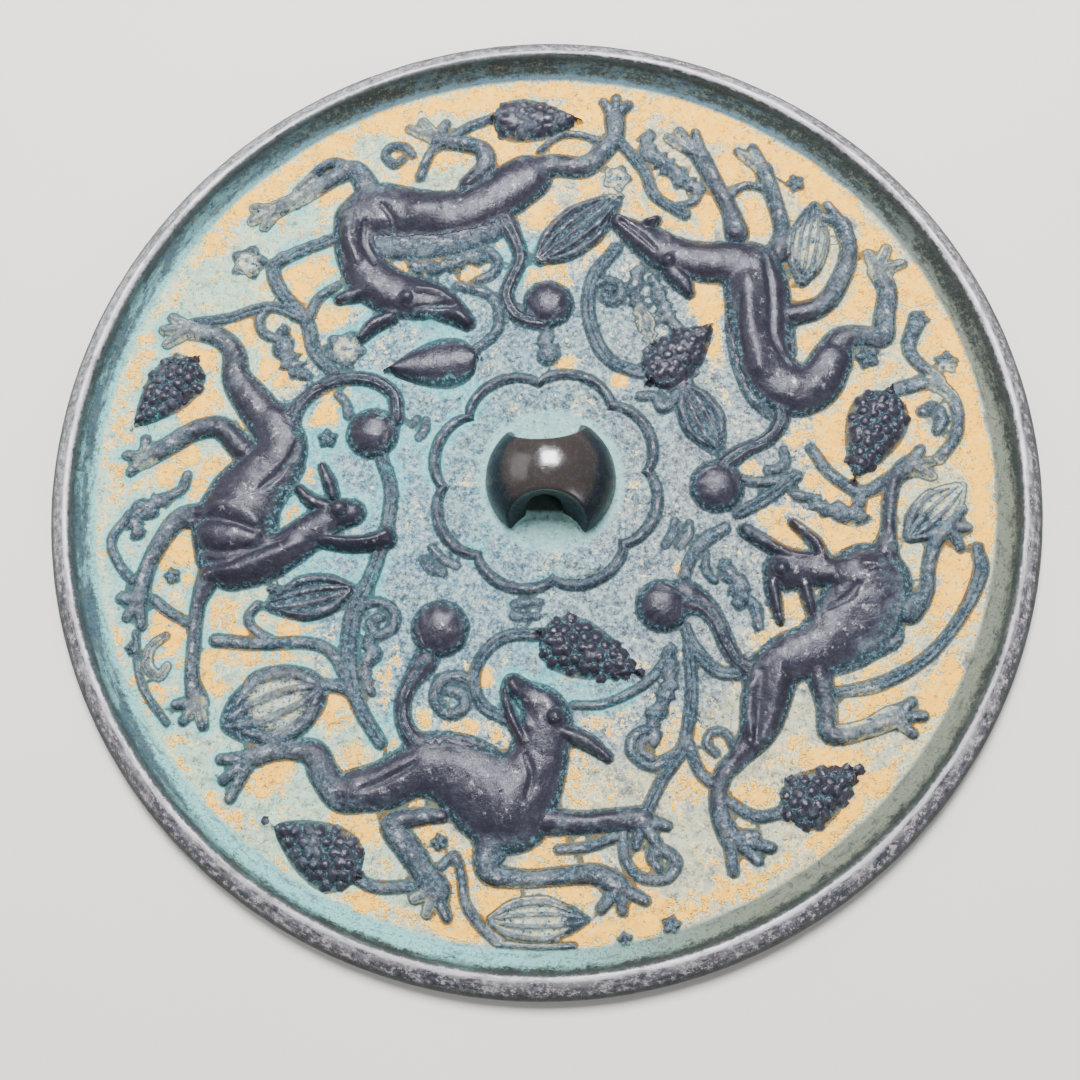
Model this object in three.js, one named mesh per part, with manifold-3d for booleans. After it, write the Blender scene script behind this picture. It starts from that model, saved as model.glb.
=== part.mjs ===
// Ancient cast bronze mirror, lying on its plain reflecting face with the decorated back up.
// Five beasts run among vines, leaves and bunches of grapes around a pierced dome knob.
// Millimetres, +Z up. The origin is the centre of the reflecting face, and the cord hole runs along Y.
import * as THREE from 'three';
import { mergeVertices } from 'three/addons/utils/BufferGeometryUtils.js';
import Module from 'manifold-3d';

// Disc and rim
const discRadius = 90;
const fieldHeight = 3;
const edgeHeight = 3.8;
const crestRadius = 86.4;
const crestHeight = 6.3;
const crestWidth = 0.5;
const fieldRadius = 82.2;
const discSides = 64;
// The rim was trimmed by hand: [waves around the disc, swing in mm, turn in radians]
const rimWaves = [[1, 0.12, 1.9], [2, 0.22, 0.9], [3, 0.3, 2.2], [5, 0.14, 0.4]];
const nickAngle = -1.71;
const nickSize = 2.2;

// Knob, its cord hole and the flower seat around it
const knobRadius = 11.95;
const knobHeight = 11.6;
const knobSides = 26;
const knobRows = 10;
const knobX = 1.9;
const knobY = 0.3;
const knobGap = 0.3;
const holeX = 0.95;
const holeHalfWidth = 3.3;
const holeHeight = 5.85;
// Both mouths of the hole open like a trumpet: [distance from the knob's middle, width scale, height scale]
const mouthStations = [[0, 1, 1], [4.2, 1, 1], [5, 1.25, 1.5], [6.2, 1.55, 2.1], [9, 1.8, 2.6], [14, 2.2, 2.8]];
const petalCount = 8;
const petalRadius = 19.5;
const petalSwell = 1.6;
const petalTurn = 0.1;
const petalRidge = 0.85;
const seatX = 0.9;
const seatY = 0.3;

// How far each kind of relief stands above the field, and how far it is sunk into the plate
const bodyRise = 2.7;
const headRise = 2.5;
const limbRise = 1.9;
const tailRise = 1.6;
const earRise = 2.2;
const toeRise = 1.5;
const toeHalfWidth = 1.1;
const tuftRise = 2.3;
const eyeRise = 3.1;
const vineRise = 1.1;
const leafRise = 1.2;
const grapeRise = 1.7;
const grainRise = 0.6;
const grapeRows = 6;
const grapeSides = 10;
const leafRows = 5;
const leafNotch = 0.72;
const rootDepth = 1;
const tipReach = 0.8;

// Each beast: joints are [x, y, half width], a leg ends at its foot, and toes are [x, y] tips.
const beasts = [
  {
    body: [[-37, 50, 5], [-33, 53, 5.2], [-26, 54, 5.3], [-19, 54.8, 5], [-12, 57, 4.6], [-6, 59.5, 5]],
    head: [[-37.5, 48, 4.2], [-36, 42.5, 3.9], [-32, 38.4, 4], [-27, 35.8, 4.2], [-21, 34.2, 3.1], [-15.6, 31, 1.6]],
    eye: [-27.5, 34.7, 2.2],
    ears: [[[-31, 37, 1.8], [-35.5, 36.2, 1.6], [-39, 35, 1]], [[-29, 31.5, 1.4], [-32, 30, 1.5], [-34.5, 27.2, 1]]],
    tail: [[-9, 53, 2.2], [-6.5, 48.5, 1.5], [-5, 44, 1.3], [-6.3, 40, 1.2], [-7.4, 36, 1.2], [-5, 32, 1.3], [0, 31, 1.6]],
    tuft: [0.5, 34.6, 4.6],
    legs: [
      { joints: [[-5, 61.5, 3], [1, 63.3, 2.3], [6.5, 63, 2.1], [9.8, 65.8, 1.8], [12.4, 69.5, 1.6], [12.4, 73.5, 1.9]],
        toes: [[10.2, 77], [12.6, 78], [15, 76.6]] },
      { joints: [[-15, 59, 2.3], [-12.4, 63, 1.8], [-13, 66.5, 1.6], [-17, 67.8, 1.5], [-22, 68.7, 1.6]],
        toes: [[-27.5, 71], [-25, 72.5], [-20.5, 72.2]] },
      { joints: [[-34, 55, 2.8], [-36, 60, 2.1], [-38.5, 62, 1.9], [-43, 59.6, 1.7], [-48, 56, 1.6], [-52.5, 53.6, 1.7]],
        toes: [[-56.8, 53.8], [-57, 51], [-54.5, 49.8]] },
      { joints: [[-38.5, 62, 1.4], [-43, 63.3, 1], [-48.5, 57.5, 0.9]], toes: [] },
    ],
  },
  {
    body: [[36, 45.5, 4.6], [38.2, 40, 5.4], [39, 33.5, 5.6], [40, 26, 5.5], [43, 19.6, 5.5], [48.2, 18.4, 4.6], [52.2, 23.4, 3.6]],
    head: [[36, 46, 4.6], [31, 45, 4.5], [26, 45, 4.4], [21.5, 47, 3.7], [17, 50.4, 2.4], [13.6, 52.3, 1.5]],
    eye: [22.8, 44, 2.1],
    ears: [[[24.5, 42.5, 1.8], [26.5, 39.5, 1.6], [27.3, 37, 1]], [[15.5, 47.4, 1], [20, 43.2, 1.3], [25, 39.5, 1.3]]],
    tail: [[44, 16, 1.8], [43.4, 11.6, 1.4], [41, 8.5, 1.2], [37, 6.5, 1.3], [33.5, 4, 1.7]],
    tuft: [32, -0.4, 4.8],
    legs: [
      { joints: [[51.8, 25.5, 3.1], [54.6, 29.2, 2.4], [59, 30, 2], [62.8, 33.5, 1.9], [63.5, 39, 1.7], [62.5, 43.5, 1.7]],
        toes: [[60.5, 46.3], [63.4, 47.8], [66, 46]] },
      { joints: [[46, 33, 2.2], [51.5, 35, 1.9], [55, 40, 1.7], [56.8, 46, 1.5], [55.6, 51.5, 1.5]],
        toes: [[51.5, 53.2], [53, 55.3]] },
      { joints: [[35.8, 49.5, 2.2], [34.6, 54, 1.6], [31.5, 60.3, 1.5], [29, 65.3, 1.7]],
        toes: [[22.8, 69.4], [25, 70.8], [28, 70.4]] },
      { joints: [[43.5, 45.5, 2.2], [44.4, 50, 1.5], [42.8, 57, 1.4], [41, 62.8, 1.6]],
        toes: [[36.2, 66.5], [39, 67.4]] },
    ],
  },
  {
    body: [[-49.5, 9.5, 3.6], [-48.2, 5, 4.6], [-52, 0.3, 5.1], [-56, -4.5, 5.5], [-57.4, -10, 5.8], [-57, -15.5, 4.8]],
    head: [[-56, -14, 4.8], [-50.5, -13.6, 4.2], [-45, -11.6, 3.8], [-40, -9.4, 3.8], [-34.5, -10, 2.8], [-28.5, -10.9, 1.7]],
    eye: [-36.4, -6.3, 2.8],
    ears: [[[-38.8, -5.6, 1.5], [-41.5, -4.6, 1.3], [-44, -2.4, 0.9]], [[-37.6, -3.5, 1], [-38.6, -1, 1.2], [-40, 2, 0.8]]],
    tail: [[-47, 9, 1.8], [-45.4, 13.5, 1.3], [-42, 17, 1.2], [-37, 19.2, 1.2], [-31.5, 18.8, 1.2], [-27.6, 16, 1.2],
      [-26.8, 11.5, 1.2]],
    tuft: [-31.2, 8.6, 4.7],
    legs: [
      { joints: [[-49, 8.5, 3.8], [-54, 14.5, 3.4], [-57.4, 19, 2.6], [-58.3, 24, 2], [-61.5, 27.2, 1.8], [-67, 28.6, 1.7]],
        toes: [[-70.6, 31], [-72, 28.4], [-71.2, 25.6]] },
      { joints: [[-55, 5, 2.3], [-59.5, 9.2, 2], [-64.3, 8.5, 1.8], [-69.5, 5.2, 1.7], [-73, 3.1, 1.7]],
        toes: [[-73.4, 6.8], [-76.6, 3.6], [-75.6, 0.4]] },
      { joints: [[-60, -8, 2.6], [-65.5, -8.3, 1.9], [-68.6, -12.6, 1.5], [-70.8, -18, 1.4], [-71.6, -23.5, 1.6]],
        toes: [[-75, -23.4], [-73.5, -26.8], [-70.7, -28.3]] },
      { joints: [[-59, -18.5, 2.2], [-60.8, -24, 1.2], [-60.9, -31, 1.1], [-60.8, -37, 1.1], [-59.3, -41.8, 1.8]],
        toes: [[-63.2, -42.2], [-61.6, -45], [-58, -45.8]] },
    ],
  },
  {
    body: [[40.5, -36.5, 4.3], [43.3, -31.5, 4.4], [49, -28.6, 4.9], [54.5, -25.5, 5.9], [60, -20.8, 6.4]],
    head: [[59, -17, 5.2], [53, -15.8, 3.8], [48, -15.3, 3.7], [43.6, -16, 3.3]],
    eye: [43.6, -16, 2.1],
    ears: [[[49.5, -13.6, 1.2], [44.5, -12.9, 1.3], [41, -11, 1.3], [37, -8.5, 1.2]], [[50.6, -13.4, 1.3], [49.3, -10.4, 1.2],
      [45.5, -7, 0.8]], [[41.6, -18, 1.3], [42.3, -22, 1.1], [43, -25, 0.6]], [[47.3, -18, 1.3], [48.2, -22, 1], [49, -24.6, 0.6]]],
    tail: [[38.5, -34, 1.6], [35.4, -32, 1.3], [33.4, -28.6, 1.4], [31.6, -24.6, 1.5], [28.8, -21.8, 2.2], [26, -21, 3.2]],
    tuft: [22.3, -22.6, 4.6],
    legs: [
      { joints: [[41.5, -34, 4.3], [40.2, -39.5, 4.1], [39, -44, 3.1], [36, -48.4, 1.8], [32.6, -52.5, 1.5], [32.3, -58, 1.5],
        [34, -62.3, 1.8]],
        toes: [[38.4, -61.8], [41, -64], [38.8, -66], [34.6, -68.2]] },
      { joints: [[49.5, -33.5, 2.2], [50.8, -39.5, 1.7], [51.4, -44.4, 1.7], [57, -43.6, 1.5], [62, -41.3, 1.9]],
        toes: [[65.5, -38.6], [67.4, -41], [65.4, -44]] },
      { joints: [[61.5, -13.5, 2.6], [62.4, -8, 1.3], [62.8, -2.5, 1.2], [64, 1.8, 1.4], [66.6, 4, 1.9]],
        toes: [[68.6, 7.2], [70.6, 5], [70.4, 2.2]] },
      { joints: [[65.5, -22.5, 2.4], [68.5, -19.5, 1.3], [69.3, -14.5, 1.1], [70.6, -10, 1.3], [73, -7, 1.5]],
        toes: [[75.6, -3.9], [76.4, -7.3], [75, -11]] },
    ],
  },
  {
    body: [[-22.5, -52.3, 4], [-18, -51.4, 4.6], [-12, -52.6, 5], [-7.5, -55.5, 6], [-4.2, -59, 6.3]],
    head: [[-2.5, -56.5, 5.4], [1.2, -51, 3.9], [2.8, -46.3, 3.7], [2.2, -42.8, 3.8], [-0.8, -40, 2.5], [-3.6, -37.3, 1.7]],
    eye: [3.8, -42.4, 2.1],
    ears: [[[5.6, -45.4, 1.4], [9.5, -46.9, 1.4], [13, -49.4, 0.9]], [[-5.2, -38.3, 0.7], [-4.1, -42.3, 1], [-1.6, -47, 1.2]]],
    tail: [[-19, -49, 1.8], [-22.2, -45.3, 1.4], [-23, -41.3, 1.3], [-21.9, -37.6, 1.4], [-19.4, -33.6, 2.2]],
    tuft: [-17, -27.6, 5],
    legs: [
      { joints: [[-22, -52.3, 4], [-27, -55.5, 3], [-31.5, -57.3, 2.4], [-35.4, -53.8, 1.9], [-38.2, -49.8, 1.8],
        [-43.5, -49.2, 1.5], [-49, -50.6, 1.7]],
        toes: [[-54.6, -51.4], [-54.2, -55.3], [-52.6, -58.2]] },
      { joints: [[-15, -60, 1.2], [-19, -60.2, 1.4], [-23, -61.8, 1.7], [-20.8, -66, 1.8], [-18.2, -70.2, 1.7], [-16, -73.6, 1.7]],
        toes: [[-19.8, -74], [-18, -76.2], [-14, -77.2]] },
      { joints: [[1, -60.4, 2.6], [8, -60.7, 1.9], [14, -60.1, 1.9], [19, -59.8, 2.1]],
        toes: [[23.4, -60.8], [21.8, -64], [18.2, -64.2]] },
      { joints: [[-6.5, -64, 3], [-6.8, -69.2, 1.9], [-1, -70.2, 1.4], [6, -69.5, 1.4], [11.5, -69.2, 1.7], [15.5, -71, 1.8]],
        toes: [[19.8, -73.2], [16, -75], [12.4, -74.8]] },
    ],
  },
];

// Bunches of grapes: [stalk end x, y, tip x, y, half width]
const grapeBunches = [
  [-11.5, 74, 5, 74, 3.9], [-66, 21.5, -75, 10.3, 4.2], [-13.5, 23, -28, 22.2, 4.4], [20, 21, 30.6, 30, 4.4],
  [62.8, 18.8, 57.2, 2.6, 4.9], [1.2, -28.6, 17, -33.6, 4.7], [-29.6, -69.6, -43.6, -62.6, 4.8], [43.8, -58.3, 54.8, -51.6, 4.2],
];

// Leaves: [stalk end x, y, tip x, y, half width]
const leaves = [
  [-2, 43.4, 13.8, 57, 4.6], [47.5, 39.5, 50.5, 56, 3.6], [26.2, 18.6, 32.4, 6, 3.8], [-33, -21.5, -48.5, -24.5, 3.8],
  [-37.5, -38, -53.5, -44.5, 6], [-6.5, -77, 10, -76.3, 3.6], [-38, 25.5, -36.5, 21.5, 2.6],
];

// Vines and curling tendrils: joints are [x, y, half width]
const vines = [
  [[13, 46, 1.1], [9, 40.5, 1.1], [8, 34, 1.1], [9.6, 27.5, 1.1], [13, 23, 1.1], [19.5, 20.8, 1]],
  [[17, 42, 1.1], [16.8, 37, 1.2], [18.3, 33, 1.3], [20, 27, 1]],
  [[20, 40, 1], [22.3, 34, 1.3], [24.4, 29.5, 1]],
  [[-41, 47.5, 1], [-48, 44.5, 1.1], [-52, 41.5, 1.2], [-50.3, 36.5, 1.2], [-45, 30.5, 1.2], [-43, 24.5, 1.2], [-38, 19.2, 1]],
  [[-45.5, 31, 1], [-52, 33.4, 0.9], [-60, 31, 0.9], [-66.5, 30, 0.8]],
  [[-44.8, 30.6, 0.9], [-43.2, 35, 0.9], [-39.5, 38, 0.7]],
  [[-25, 42, 1.2], [-18.5, 42.6, 1.3], [-13.5, 45.4, 1.4], [-9.8, 43, 1.1], [-12.8, 39.6, 0.8]],
  [[-13, 25, 0.8], [-8.8, 29.5, 0.8], [-10, 35.8, 0.8], [-16.5, 38.2, 0.8]],
  [[-11, 74, 0.9], [-16, 71.8, 0.9], [-20, 69, 0.9]],
  [[13.6, 68.2, 1], [18.2, 62.4, 1], [20.4, 57, 1], [26, 53.3, 1]],
  [[18.6, 70, 1.4], [20.5, 65.6, 1.7], [25, 61, 1.7], [28.4, 58, 1.2], [25, 55.2, 0.8]],
  [[26.5, 19.5, 1], [21, 14.6, 0.8], [18, 16.6, 0.8]],
  [[49, 7, 0.9], [52.5, 2.2, 1], [58, -1, 1.1], [63, 1.8, 1]],
  [[57.6, -1, 1.1], [57.2, -5, 1.5], [51, -4.2, 1.2], [46, -2.2, 0.9]],
  [[46.2, 1.8, 1], [41, -2.4, 1], [36, -5.4, 0.9]],
  [[65, 18.6, 1.2], [71, 20, 1.2], [75, 16.8, 1], [75.4, 10.6, 0.9], [72, 5.5, 0.9]],
  [[72.6, 20.4, 1], [67.4, 26, 1.1], [69, 32.6, 1.4]],
  [[-29.5, 4.5, 1], [-27.2, -2, 1.1], [-27.4, -9, 1.1]],
  [[-28.2, -12.5, 1.1], [-30, -18.5, 1.2], [-32.6, -25, 1.4], [-33, -33, 1.4], [-31, -41, 1.2], [-26.5, -48, 1]],
  [[-31.5, -24, 0.8], [-27.5, -23.2, 0.8], [-25.2, -26.5, 0.9], [-28.4, -28.4, 0.9]],
  [[-57, -30.6, 1.1], [-49, -31, 1], [-40, -30.7, 0.9], [-35.5, -33, 0.9], [-32.4, -39, 0.9]],
  [[-38, -38, 1], [-33, -38.8, 1], [-30.6, -41.8, 1]],
  [[-65, 0, 0.7], [-67, -4.2, 0.8], [-72, -6.6, 1.7], [-73.4, -10.5, 1.2]],
  [[-75, -7.8, 0.8], [-77.8, -12.5, 0.7], [-73.4, -20, 0.7]],
  [[1.4, -28.2, 0.9], [-6, -29, 0.9], [-10.4, -34.5, 0.9], [-9.4, -40.5, 0.9], [-4.6, -43.4, 0.9]],
  [[-11, -37, 0.8], [-15.2, -36.2, 0.9], [-17, -39.6, 1], [-14, -41.6, 1.3]],
  [[26.4, -26.4, 0.8], [28, -30, 1], [31.6, -33.8, 1], [35.4, -34.6, 0.9]],
  [[27, -30, 0.9], [27.5, -38, 0.9], [26.2, -47, 1], [22.5, -53, 0.9], [19.6, -59, 0.9]],
  [[26.6, -46, 0.9], [29, -51.6, 0.9], [32, -54, 0.9]],
  [[24.6, -48.6, 0.8], [20.6, -50.8, 0.8], [17.2, -48.4, 0.8], [19, -45, 1], [21.6, -41, 1.3], [23.4, -36, 1.3], [24, -31, 0.9]],
  [[15.8, -61, 0.8], [16.6, -67, 0.8], [21.5, -69.8, 0.8], [24.8, -66.8, 0.9], [21.6, -65.6, 1]],
  [[-29.6, -70.8, 0.9], [-26, -72.3, 0.9], [-20, -72, 0.9]],
  [[33.2, -56, 0.9], [38.5, -58.8, 0.9], [44, -57.6, 0.9]],
  [[78, -11, 1], [78.3, -15.5, 1.2], [74.5, -23.5, 0.9], [68, -31, 0.9], [60, -35.6, 1.1], [53, -37.2, 0.8]],
];

// Small round blossoms: [x, y, radius]
const blossoms = [
  [-57, 42.5, 2.6], [13, 61, 2], [59.5, 25, 1.8], [74, 24.2, 1.7], [31.6, -46, 2.1], [-39.5, 7.5, 1.5], [52, -16.9, 2.6],
];

const wasm = await Module();
wasm.setup();

function toSolid(geometry) {
  const bare = geometry.clone();
  bare.deleteAttribute('normal');
  bare.deleteAttribute('uv');
  const merged = mergeVertices(bare, 1e-4);
  const vertProperties = new Float32Array(merged.attributes.position.array);
  const triVerts = new Uint32Array(merged.index.array);
  return new wasm.Manifold(new wasm.Mesh({ numProp: 3, vertProperties, triVerts }));
}

function toGeometry(solid) {
  const mesh = solid.getMesh();
  const geometry = new THREE.BufferGeometry();
  geometry.setAttribute('position', new THREE.BufferAttribute(mesh.vertProperties, 3));
  geometry.setIndex(new THREE.BufferAttribute(mesh.triVerts, 1));
  geometry.computeVertexNormals();
  return geometry;
}

// Moves every vertex of a geometry: change(point, index) edits the point in place.
function moveVertices(geometry, change) {
  const position = geometry.attributes.position;
  const point = new THREE.Vector3();
  for (let i = 0; i < position.count; i += 1) {
    point.fromBufferAttribute(position, i);
    change(point, i);
    position.setXYZ(i, point.x, point.y, point.z);
  }
  return geometry;
}

function rimSwing(angle) {
  return rimWaves.reduce((sum, [waves, swing, turn]) => sum + swing * Math.cos(waves * angle - turn), 0);
}

// Plain flat face below, low field inside a bevelled rim that rises to a sharp crest.
function disc() {
  const profile = [
    [0, 0], [discRadius - 1.2, 0], [discRadius, 1.1], [discRadius, edgeHeight - 0.6], [discRadius - 0.5, edgeHeight],
    [crestRadius + crestWidth, crestHeight - 0.15], [crestRadius, crestHeight], [crestRadius - 1.1, crestHeight - 0.9],
    [fieldRadius + 0.9, fieldHeight + 0.7], [fieldRadius - 0.6, fieldHeight], [0, fieldHeight],
  ];
  const geometry = new THREE.LatheGeometry(profile.map(([r, z]) => new THREE.Vector2(r, z)), discSides);
  geometry.rotateX(Math.PI / 2);
  return toSolid(moveVertices(geometry, (point) => {
    const radius = Math.hypot(point.x, point.y);
    const share = THREE.MathUtils.smoothstep(radius, fieldRadius - 2, crestRadius)
      * (1 - THREE.MathUtils.smoothstep(radius, crestRadius + crestWidth, discRadius - 0.5));
    const stretch = 1 + share * rimSwing(Math.atan2(point.y, point.x)) / Math.max(radius, 1);
    point.x *= stretch;
    point.y *= stretch;
  }));
}

// The crest is broken away over a short length.
function rimNick() {
  const geometry = new THREE.IcosahedronGeometry(nickSize, 1);
  geometry.scale(1.5, 0.7, 0.45);
  geometry.rotateZ(nickAngle + Math.PI / 2);
  const radius = crestRadius - 0.4;
  geometry.translate(radius * Math.cos(nickAngle), radius * Math.sin(nickAngle), crestHeight + 0.3);
  return toSolid(geometry);
}

// One low hump through joints [x, y, half width], its ends drawn out to blunt points.
// A bump raises every other vertex above the rise.
function ridge(joints, rise, sides = 4, bump = 0) {
  const widest = Math.max(...joints.map((joint) => joint[2]));
  const last = joints.length - 1;
  const geometry = new THREE.SphereGeometry(1, sides, joints.length + 1);
  return toSolid(moveVertices(geometry, (point, i) => {
    const row = Math.floor(i / (sides + 1)) - 1;
    const column = i % (sides + 1);
    const nearest = THREE.MathUtils.clamp(row, 0, last);
    const [x, y, halfWidth] = joints[nearest];
    const before = joints[Math.max(nearest - 1, 0)];
    const after = joints[Math.min(nearest + 1, last)];
    const along = new THREE.Vector2(after[0] - before[0], after[1] - before[1]).normalize();
    const top = rise * (0.55 + 0.45 * halfWidth / widest);
    if (row !== nearest) {
      const reach = Math.sign(row - nearest) * tipReach * halfWidth;
      point.set(x + along.x * reach, y + along.y * reach, fieldHeight + 0.15 * top);
      return;
    }
    const ring = Math.hypot(point.x, point.z);
    const across = (point.x / ring) * halfWidth;
    const up = point.z / ring;
    const grain = (row + column) % 2 === 0 ? bump : 0;
    const height = up > 0.01 ? up * top + grain : -rootDepth * (0.6 - 0.4 * up);
    point.set(x - along.y * across, y + along.x * across, fieldHeight + height);
  }));
}

// A round boss that stands a given rise above the field, the rest of it sunk in the plate.
function boss(x, y, radius, rise, sides) {
  const geometry = new THREE.SphereGeometry(1, sides, 4);
  geometry.rotateX(Math.PI / 2);
  geometry.scale(radius, radius, rise);
  geometry.translate(x, y, fieldHeight);
  return toSolid(moveVertices(geometry, (point) => {
    point.z = Math.max(point.z, fieldHeight - rootDepth - 0.1 * (fieldHeight - point.z));
  }));
}

// Half-round tunnel with a flat floor, which leaves a narrow bridge over the knob's middle.
function cordHole() {
  const arch = new THREE.Shape();
  arch.moveTo(-holeHalfWidth, 0);
  arch.lineTo(holeHalfWidth, 0);
  arch.lineTo(holeHalfWidth, holeHeight * 0.5);
  arch.bezierCurveTo(
    holeHalfWidth, holeHeight * 0.85, holeHalfWidth * 0.6, holeHeight, 0, holeHeight);
  arch.bezierCurveTo(
    -holeHalfWidth * 0.6, holeHeight, -holeHalfWidth, holeHeight * 0.85, -holeHalfWidth, holeHeight * 0.5);
  const middle = mouthStations.length - 1;
  const geometry = new THREE.ExtrudeGeometry(
    arch, { depth: middle * 2, steps: middle * 2, curveSegments: 6, bevelEnabled: false });
  return toSolid(moveVertices(geometry, (point) => {
    const step = Math.round(point.z) - middle;
    const [distance, width, height] = mouthStations[Math.abs(step)];
    point.set(holeX + point.x * width, knobY - Math.sign(step) * distance, fieldHeight + point.y * height);
  }));
}

// The dome stands a hair above the plate, cut away from its foot up by the cord hole.
function knob() {
  const geometry = new THREE.SphereGeometry(1, knobSides, knobRows);
  geometry.rotateX(Math.PI / 2);
  geometry.scale(knobRadius, knobRadius, knobHeight);
  geometry.translate(knobX, knobY, fieldHeight);
  const foot = fieldHeight + knobGap;
  return toSolid(geometry).trimByPlane([0, 0, 1], foot).subtract(cordHole());
}

// Eight-lobed raised outline around the knob.
function flowerSeat() {
  const geometry = new THREE.TorusGeometry(petalRadius, petalRidge, 4, petalCount * 7);
  return toSolid(moveVertices(geometry, (point) => {
    const angle = Math.atan2(point.y, point.x);
    const lobe = Math.abs(Math.sin((angle - petalTurn) * petalCount / 2));
    const shift = petalSwell * (Math.sqrt(lobe) - 0.45) / petalRadius;
    point.x += point.x * shift + seatX;
    point.y += point.y * shift + seatY;
    point.z = fieldHeight + point.z * 1.1;
  }));
}

// A pointed claw that leaves the middle of the foot and runs down to its tip on the field.
function toe([footX, footY], [tipX, tipY]) {
  const length = Math.hypot(tipX - footX, tipY - footY);
  const geometry = new THREE.ConeGeometry(1, length, 4);
  geometry.scale(toeHalfWidth, 1, toeRise);
  geometry.translate(0, length / 2, 0);
  geometry.rotateZ(Math.atan2(tipY - footY, tipX - footX) - Math.PI / 2);
  geometry.translate(footX, footY, fieldHeight - 0.05);
  return toSolid(geometry);
}

function beastParts({ body, head, eye, ears, tail, tuft, legs }) {
  const parts = [
    ridge(body, bodyRise, 8),
    ridge(head, headRise, 6),
    boss(eye[0], eye[1], eye[2], eyeRise, 6),
    ridge(tail, tailRise, 6),
    boss(tuft[0], tuft[1], tuft[2], tuftRise, 10),
  ];
  ears.forEach((ear) => parts.push(ridge(ear, earRise)));
  legs.forEach(({ joints, toes }) => {
    const foot = joints[joints.length - 1];
    parts.push(ridge(joints, limbRise, 6));
    toes.forEach((tip) => parts.push(toe(foot, tip)));
  });
  return parts;
}

// Joints of a pointed oval from its stalk end to its tip, each [x, y, half width].
function ovalJoints([x0, y0, x1, y1, halfWidth], rows) {
  return Array.from({ length: rows }, (_, row) => {
    const share = (row + 0.6) / rows;
    const fullness = Math.sin(Math.PI * (0.12 + 0.8 * share));
    return [THREE.MathUtils.lerp(x0, x1, share), THREE.MathUtils.lerp(y0, y1, share), halfWidth * fullness];
  });
}

// A pointed oval mound whose alternate vertices stand up as round grapes.
function grapeBunch(bunch) {
  return ridge(ovalJoints(bunch, grapeRows), grapeRise, grapeSides, grainRise);
}

// A leaf swells and narrows along its length, lobe by lobe.
function leaf(outline) {
  const joints = ovalJoints(outline, leafRows).map(([x, y, halfWidth], row) => [
    x, y, halfWidth * (row % 2 === 0 ? 1 : leafNotch)]);
  return ridge(joints, leafRise, 6);
}

function mirror() {
  const relief = [
    flowerSeat(),
    ...beasts.flatMap(beastParts),
    ...grapeBunches.map(grapeBunch),
    ...leaves.map(leaf),
    ...vines.map((joints) => ridge(joints, vineRise)),
    ...blossoms.map(([x, y, radius]) => boss(x, y, radius, leafRise, 6)),
  ];
  return relief.reduce((whole, piece) => whole.add(piece), disc()).subtract(rimNick());
}

const group = new THREE.Group();

function addMesh(name, solid) {
  const bronze = new THREE.MeshStandardMaterial({ color: 0x6f7a7c, roughness: 0.45, metalness: 0.8 });
  const mesh = new THREE.Mesh(toGeometry(solid), bronze);
  mesh.name = name;
  group.add(mesh);
}

addMesh('mirror', mirror());
addMesh('knob', knob());

export default group;
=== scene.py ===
"""Ancient cast bronze mirror, its decorated back up: one carved, corroded body on a pale floor."""
import math

import bpy
import numpy as np
from mathutils import Matrix, Vector


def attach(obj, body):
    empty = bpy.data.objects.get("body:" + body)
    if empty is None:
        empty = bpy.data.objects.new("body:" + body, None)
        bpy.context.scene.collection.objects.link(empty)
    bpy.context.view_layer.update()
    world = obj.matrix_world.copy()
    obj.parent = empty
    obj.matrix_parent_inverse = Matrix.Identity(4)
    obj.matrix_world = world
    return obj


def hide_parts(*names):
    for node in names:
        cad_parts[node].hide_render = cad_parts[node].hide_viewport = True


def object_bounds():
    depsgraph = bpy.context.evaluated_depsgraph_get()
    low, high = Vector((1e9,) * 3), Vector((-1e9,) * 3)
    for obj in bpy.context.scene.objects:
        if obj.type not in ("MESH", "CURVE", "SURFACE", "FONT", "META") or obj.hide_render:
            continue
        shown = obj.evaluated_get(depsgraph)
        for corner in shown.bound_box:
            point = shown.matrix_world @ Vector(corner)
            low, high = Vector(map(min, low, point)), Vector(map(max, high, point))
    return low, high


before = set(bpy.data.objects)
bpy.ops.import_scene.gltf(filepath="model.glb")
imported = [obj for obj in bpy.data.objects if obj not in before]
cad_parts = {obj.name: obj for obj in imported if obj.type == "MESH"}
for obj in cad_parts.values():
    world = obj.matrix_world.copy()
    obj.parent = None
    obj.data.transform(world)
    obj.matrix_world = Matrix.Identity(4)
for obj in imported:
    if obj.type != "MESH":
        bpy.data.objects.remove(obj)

CAD_LOW, CAD_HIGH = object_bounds()

bl_info = {
    "name": "Bronze mirror",
    "version": (1, 0, 0),
    "blender": (4, 5, 0),
    "location": "View3D > Sidebar > Mirror",
    "description": "Builds a cast bronze mirror with beasts, vines and grapes in relief",
    "category": "Add Mesh",
}

MM = 0.001

# ---------------------------------------------------------------- places on the back, in mm and radians

SEAT_X, SEAT_Y, SEAT_TURN = 0.9, 0.3, 0.1
KNOB_X, KNOB_Y = 1.9, 0.3
HOLE_X = 0.95
RIM_FOOT = 81
NICK_ANGLE = -1.71

# Slow waves of the hand-trimmed rim: how many go round, swing, turn
RIM_WAVES = ((1, 0.12, 1.9), (2, 0.22, 0.9), (3, 0.3, 2.2), (5, 0.14, 0.4))

# Roughness of the crust: swing, size of its lumps, seed
CRUST_NOISES = ((0.4, 2.7, 1), (0.36, 1.3, 2), (0.24, 0.7, 3))

# ---------------------------------------------------------------- carving layout, in mm

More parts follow.
